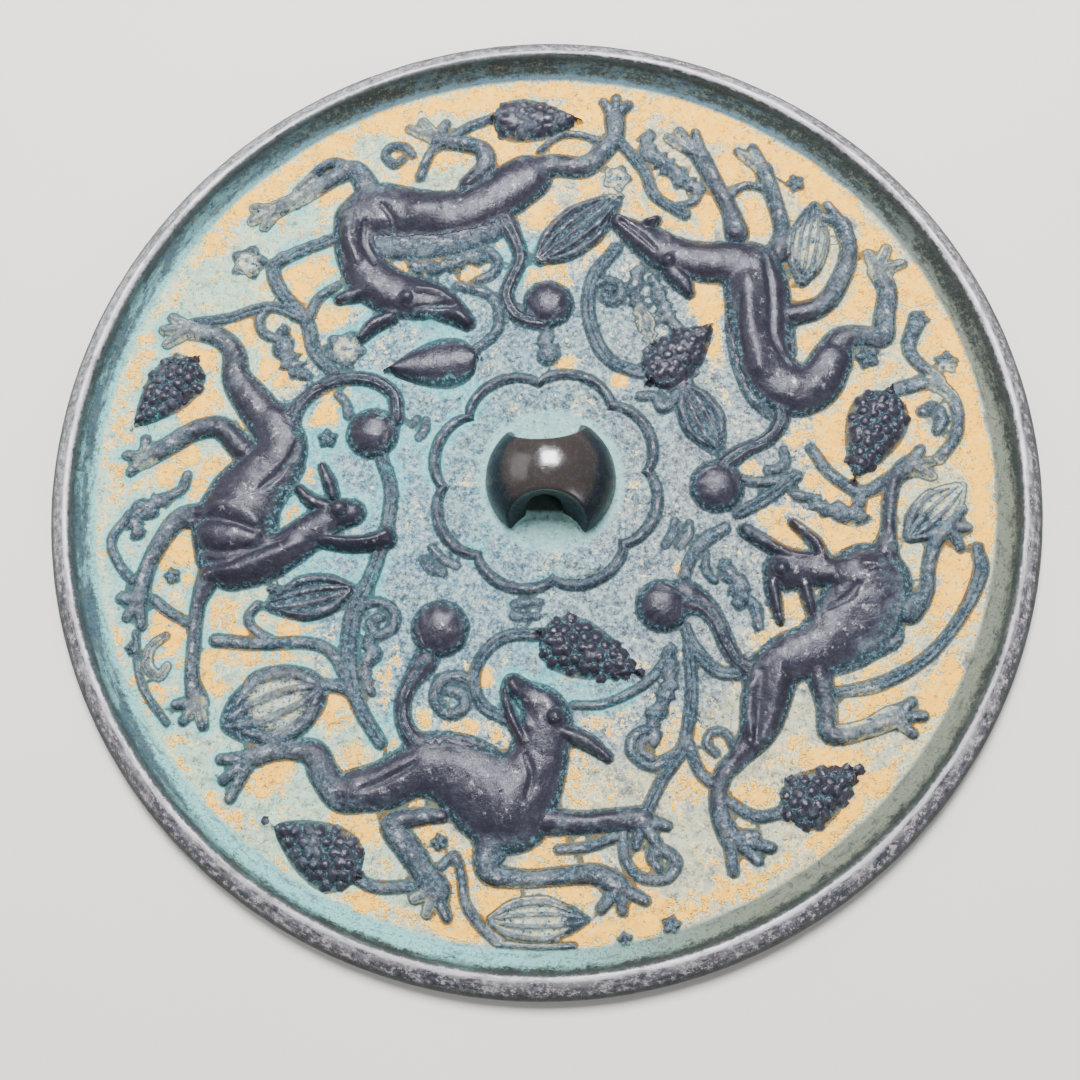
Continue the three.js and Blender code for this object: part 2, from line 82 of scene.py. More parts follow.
# Each beast: joints are (x, y, half width), a leg ends at its foot, and toes are (x, y) tips.
BEASTS = [
    {
        "body": [(-36.4, 51.6, 4.6), (-32.5, 53.2, 6), (-25, 52.6, 5.3), (-18.4, 52.8, 4.9),
                 (-13, 54.6, 4.9), (-8.6, 57.6, 5.2), (-4.4, 60.6, 4.8)],
        "head": [(-36.8, 49, 4.2), (-36.2, 44.6, 4), (-33.4, 39.6, 4.5), (-29, 36.6, 4.6),
                 (-24.6, 35.6, 4.3), (-20.4, 34.6, 3.4), (-16.8, 32.4, 2.3), (-14.6, 30.6, 1.5)],
        "eye": (-26, 34.9, 2),
        "ears": [
            [(-31, 37, 1.8), (-35.5, 36.2, 1.6), (-39, 35, 1)],
            [(-29, 31.5, 1.4), (-32, 30, 1.5), (-34.5, 27.2, 1)],
        ],
        "tail": [(-9, 53, 2.2), (-6.5, 48.5, 1.5), (-5, 44, 1.3), (-6.3, 40, 1.2), (-7.4, 36, 1.2),
                 (-5, 32, 1.3), (0, 31, 1.6)],
        "tuft": (0.5, 34.6, 4.6),
        "shelf": [(-34, 47.2, 3), (-28, 46.8, 3.4), (-20, 47.4, 3.4), (-11, 50.4, 3)],
        "legs": [
            ([(-5, 61.5, 3), (1, 63.3, 2.3), (6.5, 63, 2.1), (9.8, 65.8, 1.8), (12.4, 69.5, 1.6),
              (12.4, 73.5, 1.9)],
             [(10.2, 77), (12.6, 78), (15, 76.6)]),
            ([(-15, 59, 2.3), (-12.4, 63, 1.8), (-13, 66.5, 1.6), (-17, 67.8, 1.5), (-22, 68.7, 1.6)],
             [(-27.5, 71), (-25, 72.5), (-20.5, 72.2)]),
            ([(-34, 55, 2.8), (-36, 60, 2.1), (-38.5, 62, 1.9), (-43, 59.6, 1.7), (-48, 56, 1.6),
              (-52.5, 53.6, 1.7)],
             [(-56.8, 53.8), (-57, 51), (-54.5, 49.8)]),
            ([(-38.5, 62, 1.4), (-43, 63.3, 1), (-48.5, 57.5, 0.9)],
             []),
        ],
    },
    {
        "body": [(38.4, 42.4, 5.2), (39.4, 38.6, 6), (39.8, 33.4, 5.9), (40.2, 27, 5.3), (42, 21.4, 5.2),
                 (46.2, 18.2, 5), (50.4, 19.6, 4.4), (53, 24, 3.8)],
        "head": [(35.6, 43.4, 4.4), (31, 43.4, 4.1), (26.6, 43.9, 3.9), (22.6, 45.2, 3.9),
                 (18.8, 47.6, 3.2), (15.4, 50, 2.2), (13.2, 51.4, 1.5)],
        "eye": (22.8, 43, 1.8),
        "ears": [
            [(23.5, 41.6, 1.9), (25.4, 39.4, 1.9), (26.8, 37.2, 1.1)],
            [(19, 50.8, 1.2), (20.6, 51.8, 1)],
        ],
        "tail": [(44, 16, 1.8), (43.4, 11.6, 1.4), (41, 8.5, 1.2), (37, 6.5, 1.3), (33.5, 4, 1.7)],
        "tuft": (32, -0.4, 4.8),
        "shelf": [(41.5, 42, 3.2), (42.8, 34, 3.2), (43.6, 26, 3)],
        "legs": [
            ([(53, 24, 3.6), (55, 28, 2.6), (58.6, 29, 1.9), (62.4, 28.8, 1.9), (63, 33, 1.8),
              (63.7, 38, 1.7), (62, 42, 1.7)],
             [(60.4, 45.6), (63.8, 46.6), (66.6, 43.6)]),
            ([(46, 33, 2.2), (51.5, 35, 1.9), (55, 40, 1.7), (56.8, 46, 1.5), (55.6, 51.5, 1.5)],
             [(51.5, 53.2), (53, 55.3)]),
            ([(35.8, 49.5, 2.2), (34.6, 54, 1.6), (31.5, 60.3, 1.5), (29, 65.3, 1.7)],
             [(22.8, 69.4), (25, 70.8), (28, 70.4)]),
            ([(43.5, 45.5, 2.2), (44.4, 50, 1.5), (42.8, 57, 1.4), (41, 62.8, 1.6)],
             [(36.2, 66.5), (39, 67.4)]),
        ],
    },
    {
        "body": [(-50, 10.4, 3.9), (-48, 5.4, 4.8), (-50.6, 0.6, 5.6), (-54, -4.4, 6.8), (-55.2, -9.6, 7.7),
                 (-55, -13.8, 7.2)],
        "head": [(-55, -17, 4.4), (-50, -16, 4), (-45.4, -13.4, 3.6), (-41, -10, 3.4), (-37, -7.2, 3),
                 (-34, -6.6, 2.4)],
        "muzzle": [(-39, -12, 1.2), (-35, -12.5, 1.4), (-31, -12.3, 1.5), (-27.6, -11.3, 1.9)],
        "eye": (-36.2, -6.3, 2.3),
        "ears": [
            [(-38.8, -5.6, 1.5), (-41.5, -4.6, 1.3), (-44, -2.4, 0.9)],
            [(-37.6, -3.5, 1), (-38.6, -1, 1.2), (-40, 2, 0.8)],
        ],
        "tail": [(-47, 9, 1.8), (-45.4, 13.5, 1.3), (-42, 17, 1.2), (-37, 19.2, 1.2), (-31.5, 18.8, 1.2),
                 (-27.6, 16, 1.2), (-26.8, 11.5, 1.2)],
        "tuft": (-31.2, 8.6, 4.7),
        "shelf": [(-46, 2, 2.6), (-50, -5, 3), (-52, -9, 3)],
        "legs": [
            ([(-49, 8.5, 3.8), (-54, 14.5, 3.4), (-57.4, 19, 2.6), (-58.3, 24, 2), (-61.5, 27.2, 1.8),
              (-67, 28.6, 1.7)],
             [(-70.6, 31), (-72, 28.4), (-71.2, 25.6)]),
            ([(-55, 5, 2.3), (-59.5, 9.2, 2), (-64.3, 8.5, 1.8), (-69.5, 5.2, 1.7), (-73, 3.1, 1.7)],
             [(-73.4, 6.8), (-76.6, 3.6), (-75.6, 0.4)]),
            ([(-60, -8, 2.6), (-65.5, -8.3, 1.9), (-68.6, -12.6, 1.5), (-70.8, -18, 1.4),
              (-71.6, -23.5, 1.6)],
             [(-75, -23.4), (-73.5, -26.8), (-70.7, -28.3)]),
            ([(-59, -18.5, 2.2), (-60.8, -24, 1.2), (-60.9, -31, 1.1), (-60.8, -37, 1.1),
              (-59.3, -41.8, 1.8)],
             [(-63.2, -42.2), (-61.6, -45), (-58, -45.8)]),
        ],
    },
    {
        "body": [(40.6, -36.3, 4.2), (43.6, -32, 4.3), (49.6, -29.4, 4.8), (54, -26, 6.4),
                 (57.2, -22.4, 7.6), (58.6, -18.2, 7.6)],
        "head": [(59, -16.4, 4.6), (53.6, -16.2, 3.2), (48.6, -15.4, 3), (43.8, -15.8, 3.6)],
        "eye": (43.2, -15.8, 1.9),
        "ears": [
            [(49.5, -13.6, 1.2), (44.5, -12.9, 1.3), (41, -11, 1.3), (37, -8.5, 1.2)],
            [(50.6, -13.4, 1.3), (49.3, -10.4, 1.2), (45.5, -7, 0.8)],
            [(41.6, -18, 1.3), (42.3, -22, 1.1), (43, -25, 0.6)],
            [(47.3, -18, 1.3), (48.2, -22, 1), (49, -24.6, 0.6)],
        ],
        "tail": [(38.5, -34, 1.6), (35.4, -32, 1.3), (33.4, -28.6, 1.4), (31.6, -24.6, 1.5),
                 (28.8, -21.8, 2.2), (26, -21, 3.2)],
        "tuft": (22.3, -22.6, 4.6),
        "shelf": [(47, -31.8, 3.2), (54, -30, 3.6), (61, -26.5, 3.4)],
        "legs": [
            ([(41.5, -34, 4.3), (40.2, -39.5, 4.1), (39, -44, 3.1), (36, -48.4, 1.8), (32.6, -52.5, 1.5),
              (32.3, -58, 1.5), (34, -62.3, 1.8)],
             [(38.4, -61.8), (41, -64), (38.8, -66), (34.6, -68.2)]),
            ([(49.5, -33.5, 2.2), (50.8, -39.5, 1.7), (51.4, -44.4, 1.7), (57, -43.6, 1.5), (62, -41.3, 1.9)],
             [(65.5, -38.6), (67.4, -41), (65.4, -44)]),
            ([(61.5, -13.5, 2.6), (62.4, -8, 1.3), (62.8, -2.5, 1.2), (64, 1.8, 1.4), (66.6, 4, 1.9)],
             [(68.6, 7.2), (70.6, 5), (70.4, 2.2)]),
            ([(65.5, -22.5, 2.4), (68.5, -19.5, 1.3), (69.3, -14.5, 1.1), (70.6, -10, 1.3), (73, -7, 1.5)],
             [(75.6, -3.9), (76.4, -7.3), (75, -11)]),
        ],
    },
    {
        "body": [(-30, -56.2, 3.7), (-25.4, -55.2, 4.2), (-20.6, -52.8, 4.5), (-15.6, -52.2, 5.3),
                 (-10.8, -54.2, 6.5), (-6.6, -56.8, 7.8), (-3.8, -58, 8.2)],
        "head": [(-2.2, -56, 7), (0.4, -51.6, 5.5), (1.5, -47.6, 4.8), (2.5, -44, 4.3), (1.6, -41, 3.5),
                 (-1.4, -38.9, 2.3), (-3.6, -37.3, 1.9)],
        "eye": (3.8, -42.8, 2),
        "ears": [
            [(5.6, -45.4, 1.4), (9.5, -46.9, 1.4), (13, -49.4, 0.9)],
            [(-5.2, -38.3, 0.7), (-4.1, -42.3, 1), (-1.6, -47, 1.2)],
        ],
        "tail": [(-19, -49, 1.8), (-22.2, -45.3, 1.4), (-23, -41.3, 1.3), (-21.9, -37.6, 1.4),
                 (-19.4, -33.6, 2.2)],
        "tuft": (-17, -27.6, 5),
        "shelf": [(-20, -48.6, 2.6), (-12, -49, 2.8), (-5, -52.5, 3)],
        "legs": [
            ([(-27, -55.8, 3.4), (-32.4, -57, 3), (-36, -53.6, 2.5), (-38.2, -50, 2.2), (-43.6, -49.6, 1.6),
              (-49, -51, 1.8)],
             [(-54.4, -51.6), (-53.6, -55.2), (-52.2, -58.2)]),
            ([(-15, -60, 1.2), (-19, -60.4, 1.4), (-23.8, -61.8, 1.8), (-20.8, -65.6, 2.2), (-18, -69.4, 2),
              (-15.6, -72.6, 2.4)],
             [(-19.2, -74), (-17, -76.4), (-13.6, -77)]),
            ([(1, -60.4, 2.6), (8, -60.7, 1.9), (14, -60.1, 1.9), (19, -59.8, 2.1)],
             [(23.4, -60.8), (21.8, -64), (18.2, -64.2)]),
            ([(-6.5, -64, 3), (-6.8, -69.2, 1.9), (-1, -70.2, 1.4), (6, -69.5, 1.4), (11.5, -69.2, 1.7),
              (15.5, -71, 1.8)],
             [(19.8, -73.2), (16, -75), (12.4, -74.8)]),
        ],
    },
]

# Bunches of grapes: stalk end x, y, tip x, y, half width, and how strongly the grains stand out
GRAPES = [
    (-11.2, 73, 5, 72.8, 4.6, 0.5), (-65.4, 22.4, -75.4, 9.6, 4.9, 1), (-12.6, 23.4, -28.6, 21, 4.9, 0.15),
    (19.6, 19.6, 30.8, 30.4, 4.9, 0.6), (63.4, 18, 56.8, 2, 5.4, 0.9), (1, -28, 17.6, -34.4, 5.2, 1),
    (-29, -70.4, -43.8, -62.6, 5.4, 1), (43.6, -58.4, 55.2, -51, 4.8, 1),
]

# Leaves: stalk end x, y, tip x, y, half width, number of lobes
LEAVES = [
    (-2, 43.2, 13.6, 56.8, 4.6, 4), (47.8, 39, 50.5, 55.6, 3.8, 4), (26.2, 18.6, 32.4, 6, 3.8, 3),
    (-33, -20.6, -48.5, -24.2, 3.9, 3), (-37.5, -38.5, -54, -45.5, 6.6, 3),
    (-6.5, -77.2, 10, -76.6, 3.7, 3), (65.6, -9.6, 76, 0.6, 3.6, 3),
]

# Vines with a groove along the top: joints (x, y, half width)
VINES = [
    [(13, 46, 1.1), (9, 40.5, 1.1), (8, 34, 1.1), (9.6, 27.5, 1.1), (13, 23, 1.1), (19.5, 20.8, 1)],
    [(-41, 47.5, 1), (-48, 44.5, 1.1), (-52, 41.5, 1.2), (-50.3, 36.5, 1.2), (-45, 30.5, 1.2),
     (-43, 24.5, 1.2), (-38, 19.2, 1)],
    [(-29.5, 4.5, 1), (-27.2, -2, 1.1), (-27.4, -9, 1.1)],
    [(-28.2, -12.5, 1.1), (-30, -18.5, 1.2), (-32.6, -25, 1.4), (-33, -33, 1.4), (-31, -41, 1.2),
     (-26.5, -48, 1)],
    [(27, -30, 0.9), (27.5, -38, 0.9), (26.2, -47, 1), (22.5, -53, 0.9), (19.6, -59, 0.9)],
    [(26.4, -26.4, 0.8), (28, -30, 1), (31.6, -33.8, 1), (35.4, -34.6, 0.9)],
    [(1.4, -28.2, 0.9), (-6, -29, 0.9), (-10.4, -34.5, 0.9), (-9.4, -40.5, 0.9), (-4.6, -43.4, 0.9)],
    [(46.2, 1.8, 1), (41, -2.4, 1), (36, -5.4, 0.9)],
    [(13.6, 68.2, 1), (18.2, 62.4, 1), (20.4, 57, 1), (26, 53.3, 1)],
    [(-45.5, 31, 1), (-52, 33.4, 0.9), (-60, 31, 0.9), (-66.5, 30, 0.8)],
    [(78, -11, 1), (78.3, -15.5, 1.2), (74.5, -23.5, 0.9), (68, -31, 0.9), (60, -35.6, 1.1),
     (53, -37.2, 0.8)],
]

# Plain tendrils and curls: joints (x, y, half width)
TENDRILS = [
    [(-44.8, 30.6, 0.9), (-43.2, 35, 0.9), (-39.5, 38, 0.7)],
    [(-13, 25, 0.8), (-8.8, 29.5, 0.8), (-10, 35.8, 0.8), (-16.5, 38.2, 0.8)],
    [(-11, 73.6, 0.9), (-16, 71.4, 0.9), (-20, 68.6, 0.9)],
    [(28.4, 58, 1), (27.6, 55.8, 0.7), (24.4, 55, 0.7)],
    [(26.5, 19.5, 1), (22.4, 14.2, 0.8), (20.6, 16.6, 0.8), (18, 16.6, 0.8)],
    [(49, 7, 0.9), (52.5, 2.2, 1), (58, -1, 1.1), (63, 1.8, 1)],
    [(65, 18.6, 1.2), (71, 20, 1.2), (75, 16.8, 1), (75.4, 10.6, 0.9), (72, 5.5, 0.9)],
    [(72.6, 20.4, 1), (67.4, 26, 1.1), (69, 32.6, 1.4)],
    [(69.2, 14.4, 0.9), (71.2, 15.2, 1.1), (72.6, 13, 1.1), (71.8, 10.8, 0.8)],
    [(-31.5, -24, 0.7), (-28.6, -22.9, 0.7), (-25.6, -24.4, 0.8), (-25.3, -27.4, 0.8), (-28, -28.9, 0.8),
     (-29.6, -26.8, 0.7), (-27.6, -25.6, 0.8)],
    [(-38, -38, 1), (-33, -38.8, 1), (-30.6, -41.8, 1)],
    [(-57, -30.6, 1.1), (-49, -31, 1), (-40, -30.7, 0.9), (-35.5, -33, 0.9), (-32.4, -39, 0.9)],
    [(-75, -7.8, 0.8), (-77.8, -12.5, 0.7), (-76.4, -16.5, 0.7), (-73.4, -20, 0.7)],
    [(-65, 0, 0.7), (-65.6, -2.6, 0.7), (-69, -4.6, 0.8)],
    [(-11, -37, 0.8), (-13.2, -35.9, 0.8), (-16.4, -36.8, 0.9), (-17.4, -40, 0.9), (-15.2, -42.6, 0.9),
     (-12.2, -41.6, 0.9), (-12.6, -39, 0.8), (-14.8, -38.6, 0.8)],
    [(26.6, -46, 0.9), (29, -51.6, 0.9), (32, -54, 0.9)],
    [(24.6, -48.6, 0.8), (20.6, -50.8, 0.8), (17.2, -48.6, 0.8), (17.6, -45.6, 0.8), (20, -44.6, 0.8)],
    [(20.6, -49.4, 0.7), (18.9, -48.2, 0.7), (19.2, -46.2, 0.6), (20.6, -46, 0.6)],
    [(15.8, -61, 0.8), (16.4, -66.6, 0.8), (19, -69.4, 0.8), (23.4, -69.4, 0.8), (25, -66.6, 0.9),
     (22.4, -64.8, 0.9), (20.8, -66, 0.9), (22, -67.8, 0.7)],
    [(-29.6, -70.8, 0.9), (-26, -72.3, 0.9), (-20, -72, 0.9)],
    [(33.2, -56, 0.9), (38.5, -58.8, 0.9), (44, -57.6, 0.9)],
    [(-15, -68.6, 0.6), (-12.8, -66.8, 0.7), (-11.4, -70, 0.7), (-10.6, -74.4, 0.7), (-8, -78, 0.8),
     (-5, -80.4, 0.8)],
    [(34.6, -47, 0.6), (33.4, -44.8, 0.6), (31, -44.6, 0.6), (30, -46.8, 0.6), (31.6, -48.2, 0.7)],
    [(7, -40.6, 0.6), (13, -40, 0.6), (20, -36, 0.7), (23.8, -31, 0.7)],
    [(-50, -24, 0.7), (-51.6, -26.2, 0.7), (-50.4, -28.4, 0.7), (-47, -30.4, 0.7)],
    [(-69, -23.4, 0.8), (-66, -25.6, 0.8), (-62, -27.8, 0.7)],
    [(-66.2, -30, 0.6), (-68.6, -32, 0.7), (-69, -35.2, 0.8), (-66.8, -37.2, 0.8), (-65.4, -35.4, 0.6)],
    [(-71.6, -29.5, 0.5), (-70.6, -36, 0.5), (-68.6, -40.6, 0.5), (-64.6, -45.4, 0.5)],
    [(26.2, -17, 0.9), (27.6, -13.2, 0.9), (30, -10.4, 1.2), (33.4, -8.2, 0.9)],
    [(30, -13, 0.5), (30, -16, 0.6), (31.6, -18, 0.5)],
    [(36.6, -20.6, 0.8), (38.8, -22.6, 0.9), (39.2, -26, 0.7)],
    [(44, 6.5, 0.7), (44.4, 4.4, 0.8), (43, 3, 0.8), (41.2, 2.8, 0.7)],
    [(36, 1, 0.8), (40, 0.4, 0.8), (44.6, 1.2, 0.8)],
    [(34.5, 57, 0.6), (37, 59.3, 0.7), (41, 59, 0.6)],
    [(-2, 66.4, 0.5), (1.4, 69.4, 0.6), (5, 70, 0.6), (9.4, 68.8, 0.6)],
    [(-20, 68, 0.8), (-22.6, 66.6, 0.8), (-24, 63.8, 0.8), (-25, 60.6, 0.8)],
    [(-26.6, 65.2, 0.6), (-28.2, 67, 0.8), (-31, 67, 0.8), (-32, 65, 0.7), (-30.2, 63.2, 0.7),
     (-28.6, 64.4, 0.7)],
    [(-52.2, 33.4, 0.7), (-54, 30.8, 0.8), (-53, 28, 0.8), (-50.6, 27, 0.8)],
    [(-11, 45.4, 0.8), (-9.2, 43, 0.8), (-10.4, 40.4, 0.8), (-13.2, 39.2, 0.7)],
    [(57.6, -1, 1), (57.6, -3, 1)],
    [(-5, -81, 0.4), (2, -81.2, 0.4), (8, -80.8, 0.4)],
    [(-38, 16, 0.7), (-36.4, 14.2, 0.7), (-36, 12, 0.7)],
    [(5, -65.2, 0.7), (10, -64.6, 0.8), (14.6, -62.8, 0.8)],
    [(34.4, 36, 0.6), (34.6, 30, 0.7), (35.6, 23.6, 0.8), (38, 17, 0.8), (41.4, 13.4, 0.7)],
    [(9.6, 38.8, 0.6), (11.4, 39.6, 0.7), (13.8, 38.6, 0.8), (14, 36, 0.8), (12, 35, 0.7), (11, 36.6, 0.6)],
]

# Crinkled leaf scrolls, beaded along their length: joints (x, y, half width)
CRINKLES = [
    [(17.3, 41.6, 1.1), (16.6, 37, 1.2), (18.3, 33, 1.3), (20, 27, 1)],
    [(20.2, 40, 1), (22.3, 34, 1.3), (24.6, 29.6, 1)],
    [(-25, 41.8, 1.2), (-20, 42, 1.3), (-15.6, 43.6, 1.4), (-12.6, 44.2, 1.5)],
    [(18.6, 69.6, 1.3), (18.8, 66.8, 1.5), (21.6, 64.2, 1.7), (25, 61, 1.7), (28.4, 58.6, 1.3)],
    [(-49.6, 28.4, 1.2), (-48.8, 25, 1.7), (-47.2, 22, 1.8), (-44.8, 19.6, 1.2)],
    [(57.2, -5, 1.6), (54, -4.9, 1.5), (50.6, -4, 1.3), (48.6, -2.2, 1), (46, -1.8, 0.7)],
    [(-69.6, -4.8, 1.4), (-72, -6.6, 1.8), (-73.6, -8.4, 1.6), (-73.2, -11, 1.1)],
    [(23.4, -30.6, 1), (23.8, -35.6, 1.2), (22.6, -39.4, 1.3), (20.8, -43, 1.2), (21.2, -46.4, 1)],
    [(-29.8, -30, 1.2), (-29, -32.4, 1.3), (-30, -35.6, 1.1), (-28.8, -39.2, 0.8)],
    [(34, -16.4, 1.2), (36, -19.4, 1.6), (35.6, -21.6, 1.1)],
    [(0, 27.6, 1.4), (0.8, 24.6, 1.7)],
]

# Small round blossoms: x, y, radius
BLOSSOMS = [
    (-57, 42.5, 3), (-37.4, 25, 3.3), (13, 60.8, 2.3), (59.5, 24.8, 1.9), (74, 24, 1.8), (69.4, 32.4, 1.5),
    (-39.5, 7.4, 1.5), (47, 60, 1.5), (-66, -19, 1.2), (-15.4, -64.6, 1.2), (24.2, -77, 1.3),
    (16.5, -79.6, 1), (4.6, -79.2, 1.2), (-74.4, -23, 0.9), (33.4, -15.2, 1.2), (-72, -32.4, 1),
    (-47.6, -21, 0.8), (12, 37.4, 1), (18, 31, 0.9), (-15.8, -82, 1),
]

# Short paired strokes in the field around the seat: joints (x, y, half width)
TICKS = [
    [(-20.6, -15, 0.7), (-19.2, -16.7, 0.8), (-17, -17.4, 0.6)],
    [(-19.2, -12.8, 0.6), (-17.2, -14.9, 0.7), (-14.6, -16, 0.6)],
    [(-4, -22.8, 0.6), (-1.6, -22.6, 0.7), (0.6, -22.4, 0.5)],
    [(-4, -25, 0.6), (-2, -25.1, 0.7), (0.2, -24.9, 0.5)],
    [(24.4, -7, 0.6), (24.2, -9, 0.8), (22.8, -11.4, 0.6)],
    [(27, -7.4, 0.6), (26.8, -9.6, 0.8), (25.4, -11.6, 0.6)],
    [(-22.6, 8, 0.6), (-21.6, 9.6, 0.8), (-21.4, 11.4, 0.5)],
    [(-24, 10.4, 0.5), (-23, 11.6, 0.5)],
]

# Raised folds on the bodies: joints (x, y, half width), standing on the body
FOLDS = [
    [(-60, -5.8, 1.6), (-55, -6.2, 2), (-50.6, -9, 1.6)],
    [(-61, -11, 2), (-56, -11.9, 2.6), (-51, -12.2, 2)],
    [(-58.6, -18.8, 1.4), (-54, -18, 1.9), (-49, -15.8, 1.8), (-44.4, -13.4, 1.5)],
    [(-38, -11.2, 1), (-33, -11.8, 1.3), (-29, -11.4, 1.4), (-27.4, -10.2, 1.5)],
    [(-4.6, -38.4, 0.8), (-2.8, -41.2, 0.9), (-0.8, -44.4, 0.9)],
    [(-4, -36.8, 1.6), (-3.2, -38.2, 1.5)],
    [(-24, 36.6, 0.9), (-20.6, 36.4, 1), (-17.4, 34.8, 0.9)],
    [(-16.4, 31.8, 1.2), (-15, 30.8, 1.1)],
    [(-23.5, 32.4, 1.8), (-20.5, 31.6, 1.4)],
    [(18.6, 51.6, 0.8), (20.8, 50.8, 1), (23, 48.6, 0.9)],
    [(14.2, 52.4, 1.1), (13.2, 52.6, 0.9)],
    [(42.6, -33, 1.4), (42.4, -38, 1.8), (41, -43, 1.6), (38.6, -46.8, 1)],
    [(36.8, -37, 1.1), (37, -42, 1.3), (37.6, -45.6, 0.9)],
    [(58, -14.6, 1), (62.8, -15.4, 1), (65, -19.6, 1), (64.6, -24, 0.9)],
    [(52, -16.9, 2.4), (52.2, -17.1, 2.4)],
    [(-37.6, 51.4, 1.4), (-37.8, 46.8, 1.4), (-35.8, 42.4, 1.2)],
    [(-4, -60.4, 3), (-4.2, -57.4, 2.6)],
    [(-24.6, 52.8, 2.6), (-22.4, 53.2, 2.6)],
    [(37.4, 38.6, 2), (37.8, 30, 2.2), (39.4, 22.4, 2)],
]

# Grooves cut into the bodies: joints (x, y, half width)
GROOVES = [
    [(-63, -8.4, 0.5), (-57, -8.9, 0.6), (-51, -10.6, 0.4)],
    [(-62, -13.9, 0.5), (-57, -14.8, 0.6), (-52, -13.9, 0.4)],
    [(-61, -16.6, 0.5), (-56, -16.6, 0.6), (-51, -14.2, 0.5), (-45.6, -12.2, 0.3)],
    [(-40.6, 52, 0.4), (-40, 47, 0.5), (-37.8, 42, 0.4)],
    [(-34.8, 50, 0.4), (-35, 46, 0.5), (-32.6, 41.8, 0.4)],
    [(-29, -56, 0.4), (-24.6, -54.2, 0.5), (-20.4, -51.6, 0.4)],
    [(-1, -49.6, 0.4), (0.2, -53, 0.5), (-0.6, -56.4, 0.4)],
    [(39.6, -34, 0.5), (39, -40, 0.6), (38.4, -46, 0.4)],
    [(61.8, -13, 0.4), (64.2, -17, 0.5), (64.8, -22, 0.5), (63, -27, 0.3)],
    [(56.4, -18.4, 0.4), (54.6, -20.8, 0.5), (51, -22.6, 0.3)],
    [(40.8, 44.4, 0.4), (41.8, 36, 0.5), (42, 28, 0.5), (45, 22.6, 0.4)],
    [(-5.4, -36.9, 0.3), (-3.8, -39.6, 0.4), (-2, -43.6, 0.3)],
    [(-17, 56.4, 0.4), (-14.6, 58.4, 0.5), (-11, 59.8, 0.4)],
    [(-44.4, 6.4, 0.4), (-46.6, 1.6, 0.5), (-50.6, -2.8, 0.4)],
    [(13.8, 51.2, 0.3), (17, 48.6, 0.4), (20.4, 45.2, 0.3)],
    [(-36, -9.6, 0.3), (-31.4, -10, 0.4), (-28.6, -9.4, 0.3)],
    [(-17, 33.4, 0.3), (-20.6, 33.2, 0.4), (-24.2, 32.8, 0.3)],
    [(-31.6, 53.6, 0.4), (-29.6, 51, 0.5), (-29.2, 48.8, 0.3)],
    [(36, 36, 0.3), (35.6, 30, 0.4), (36.6, 24, 0.3)],
]

# Where dry tan earth fills the hollows: x, y, radius
EARTH_SPOTS = [
    (-64, -15, 8), (-66, -28, 6), (-57, -36, 6), (-51, -31, 5), (-34, -42, 6), (-32, -52, 5), (-46, -53, 7),
    (-54, -62, 6), (-30, -61, 9), (-10, -74, 12), (5, -67, 9), (20, -79, 10), (2, -82, 12), (-18, -58, 6),
    (-16, -64, 4), (36, -60, 4), (12, -58, 6), (20, -48, 3), (34, -56, 4), (30, -50, 3), (50, -50, 5),
    (57, -46, 6), (60, -36, 6), (72, -37, 6), (72, -18, 7), (78, -10, 8), (56, -8, 8), (58, -3, 6),
    (52, 0, 5), (45, -10, 5), (41, -6, 3), (66, 12, 8), (78, 8, 8), (78, 24, 8), (60, 44, 7), (68, 40, 8),
    (56, 14, 8), (53, 6, 5), (38, 2, 3), (31, 36, 5), (30, 28, 4), (46, 36, 5), (58, 36, 5), (40, 53, 5),
    (30, 56, 5), (36, 62, 7), (50, 62, 8), (20, 62, 6), (28, 76, 12), (2, 67, 7), (10, 75, 8), (-10, 68, 8),
    (-26, 66, 7), (-30, 74, 7), (-44, 66, 7), (-55, 56, 6), (-22, 44, 5), (-15, 41, 4), (-47, 36, 4),
    (-42, 33, 3), (-58, 28, 6), (-50, 22, 5), (-66, 24, 6), (-74, 20, 6), (-68, 3, 6), (-64, 14, 6),
    (-76, -2, 6), (-78, -14, 6), (-72, -32, 5), (-70, -42, 7), (-62, -54, 5), (-42.5, 0, 2), (-40, 12, 3),
    (14, 20, 2), (4, 22, 3), (0, 40, 5), (10, 47, 3), (-38, 17, 4), (-44, -28, 3), (-12, -45, 3),
    (-3, -49, 3), (26, -16, 2), (-10, -36, 3), (7, -34.6, 2), (47, -22, 3), (43, -22, 3), (66, -30, 3),
]

# Bare grey corroded field inside the earth: x, y, radius
GREY_SPOTS = [
    (13, -54, 6), (27, -62, 7), (28, -70, 6), (40, -48, 6), (46, -40, 5), (62, -47, 5), (31, -39, 5),
    (43, -64, 6), (-57, -52, 6), (-47, -62, 6), (-25, -67, 4), (-38, -57, 5), (-22, -76, 5), (-35, -46, 4),
    (-55, -36, 3), (70, -3, 6), (63, 18, 3), (72, 14, 3), (34, 50, 3), (62, 54, 3), (-62, 38, 7),
    (-52, 46, 5), (-47, 51, 4), (-56, 22, 3), (-34, 68, 4), (3, 58, 3), (22, 72, 3), (40, 15, 3),
    (-20, 60, 4), (-60, 48, 4), (75, -30, 3),
]

# Where pale dust still lies on the relief itself: x, y, radius
DUST_SPOTS = [
    (-55, 52, 5), (-69, 27, 5), (-25, 70.6, 4), (63, 44, 5), (50, 47, 6), (72, 0, 7), (58, -42, 7),
    (-59, -43, 3), (-18, -75, 3), (0, -77, 8), (-45, -41, 6), (24, 68.6, 3), (38, 64.4, 3), (-66, -34, 5),
    (74, 20, 5), (-57, 42, 3), (-37, 25, 3), (-73, 3, 3), (-48, 57, 5), (18, 30, 5), (12, 60, 4),
]

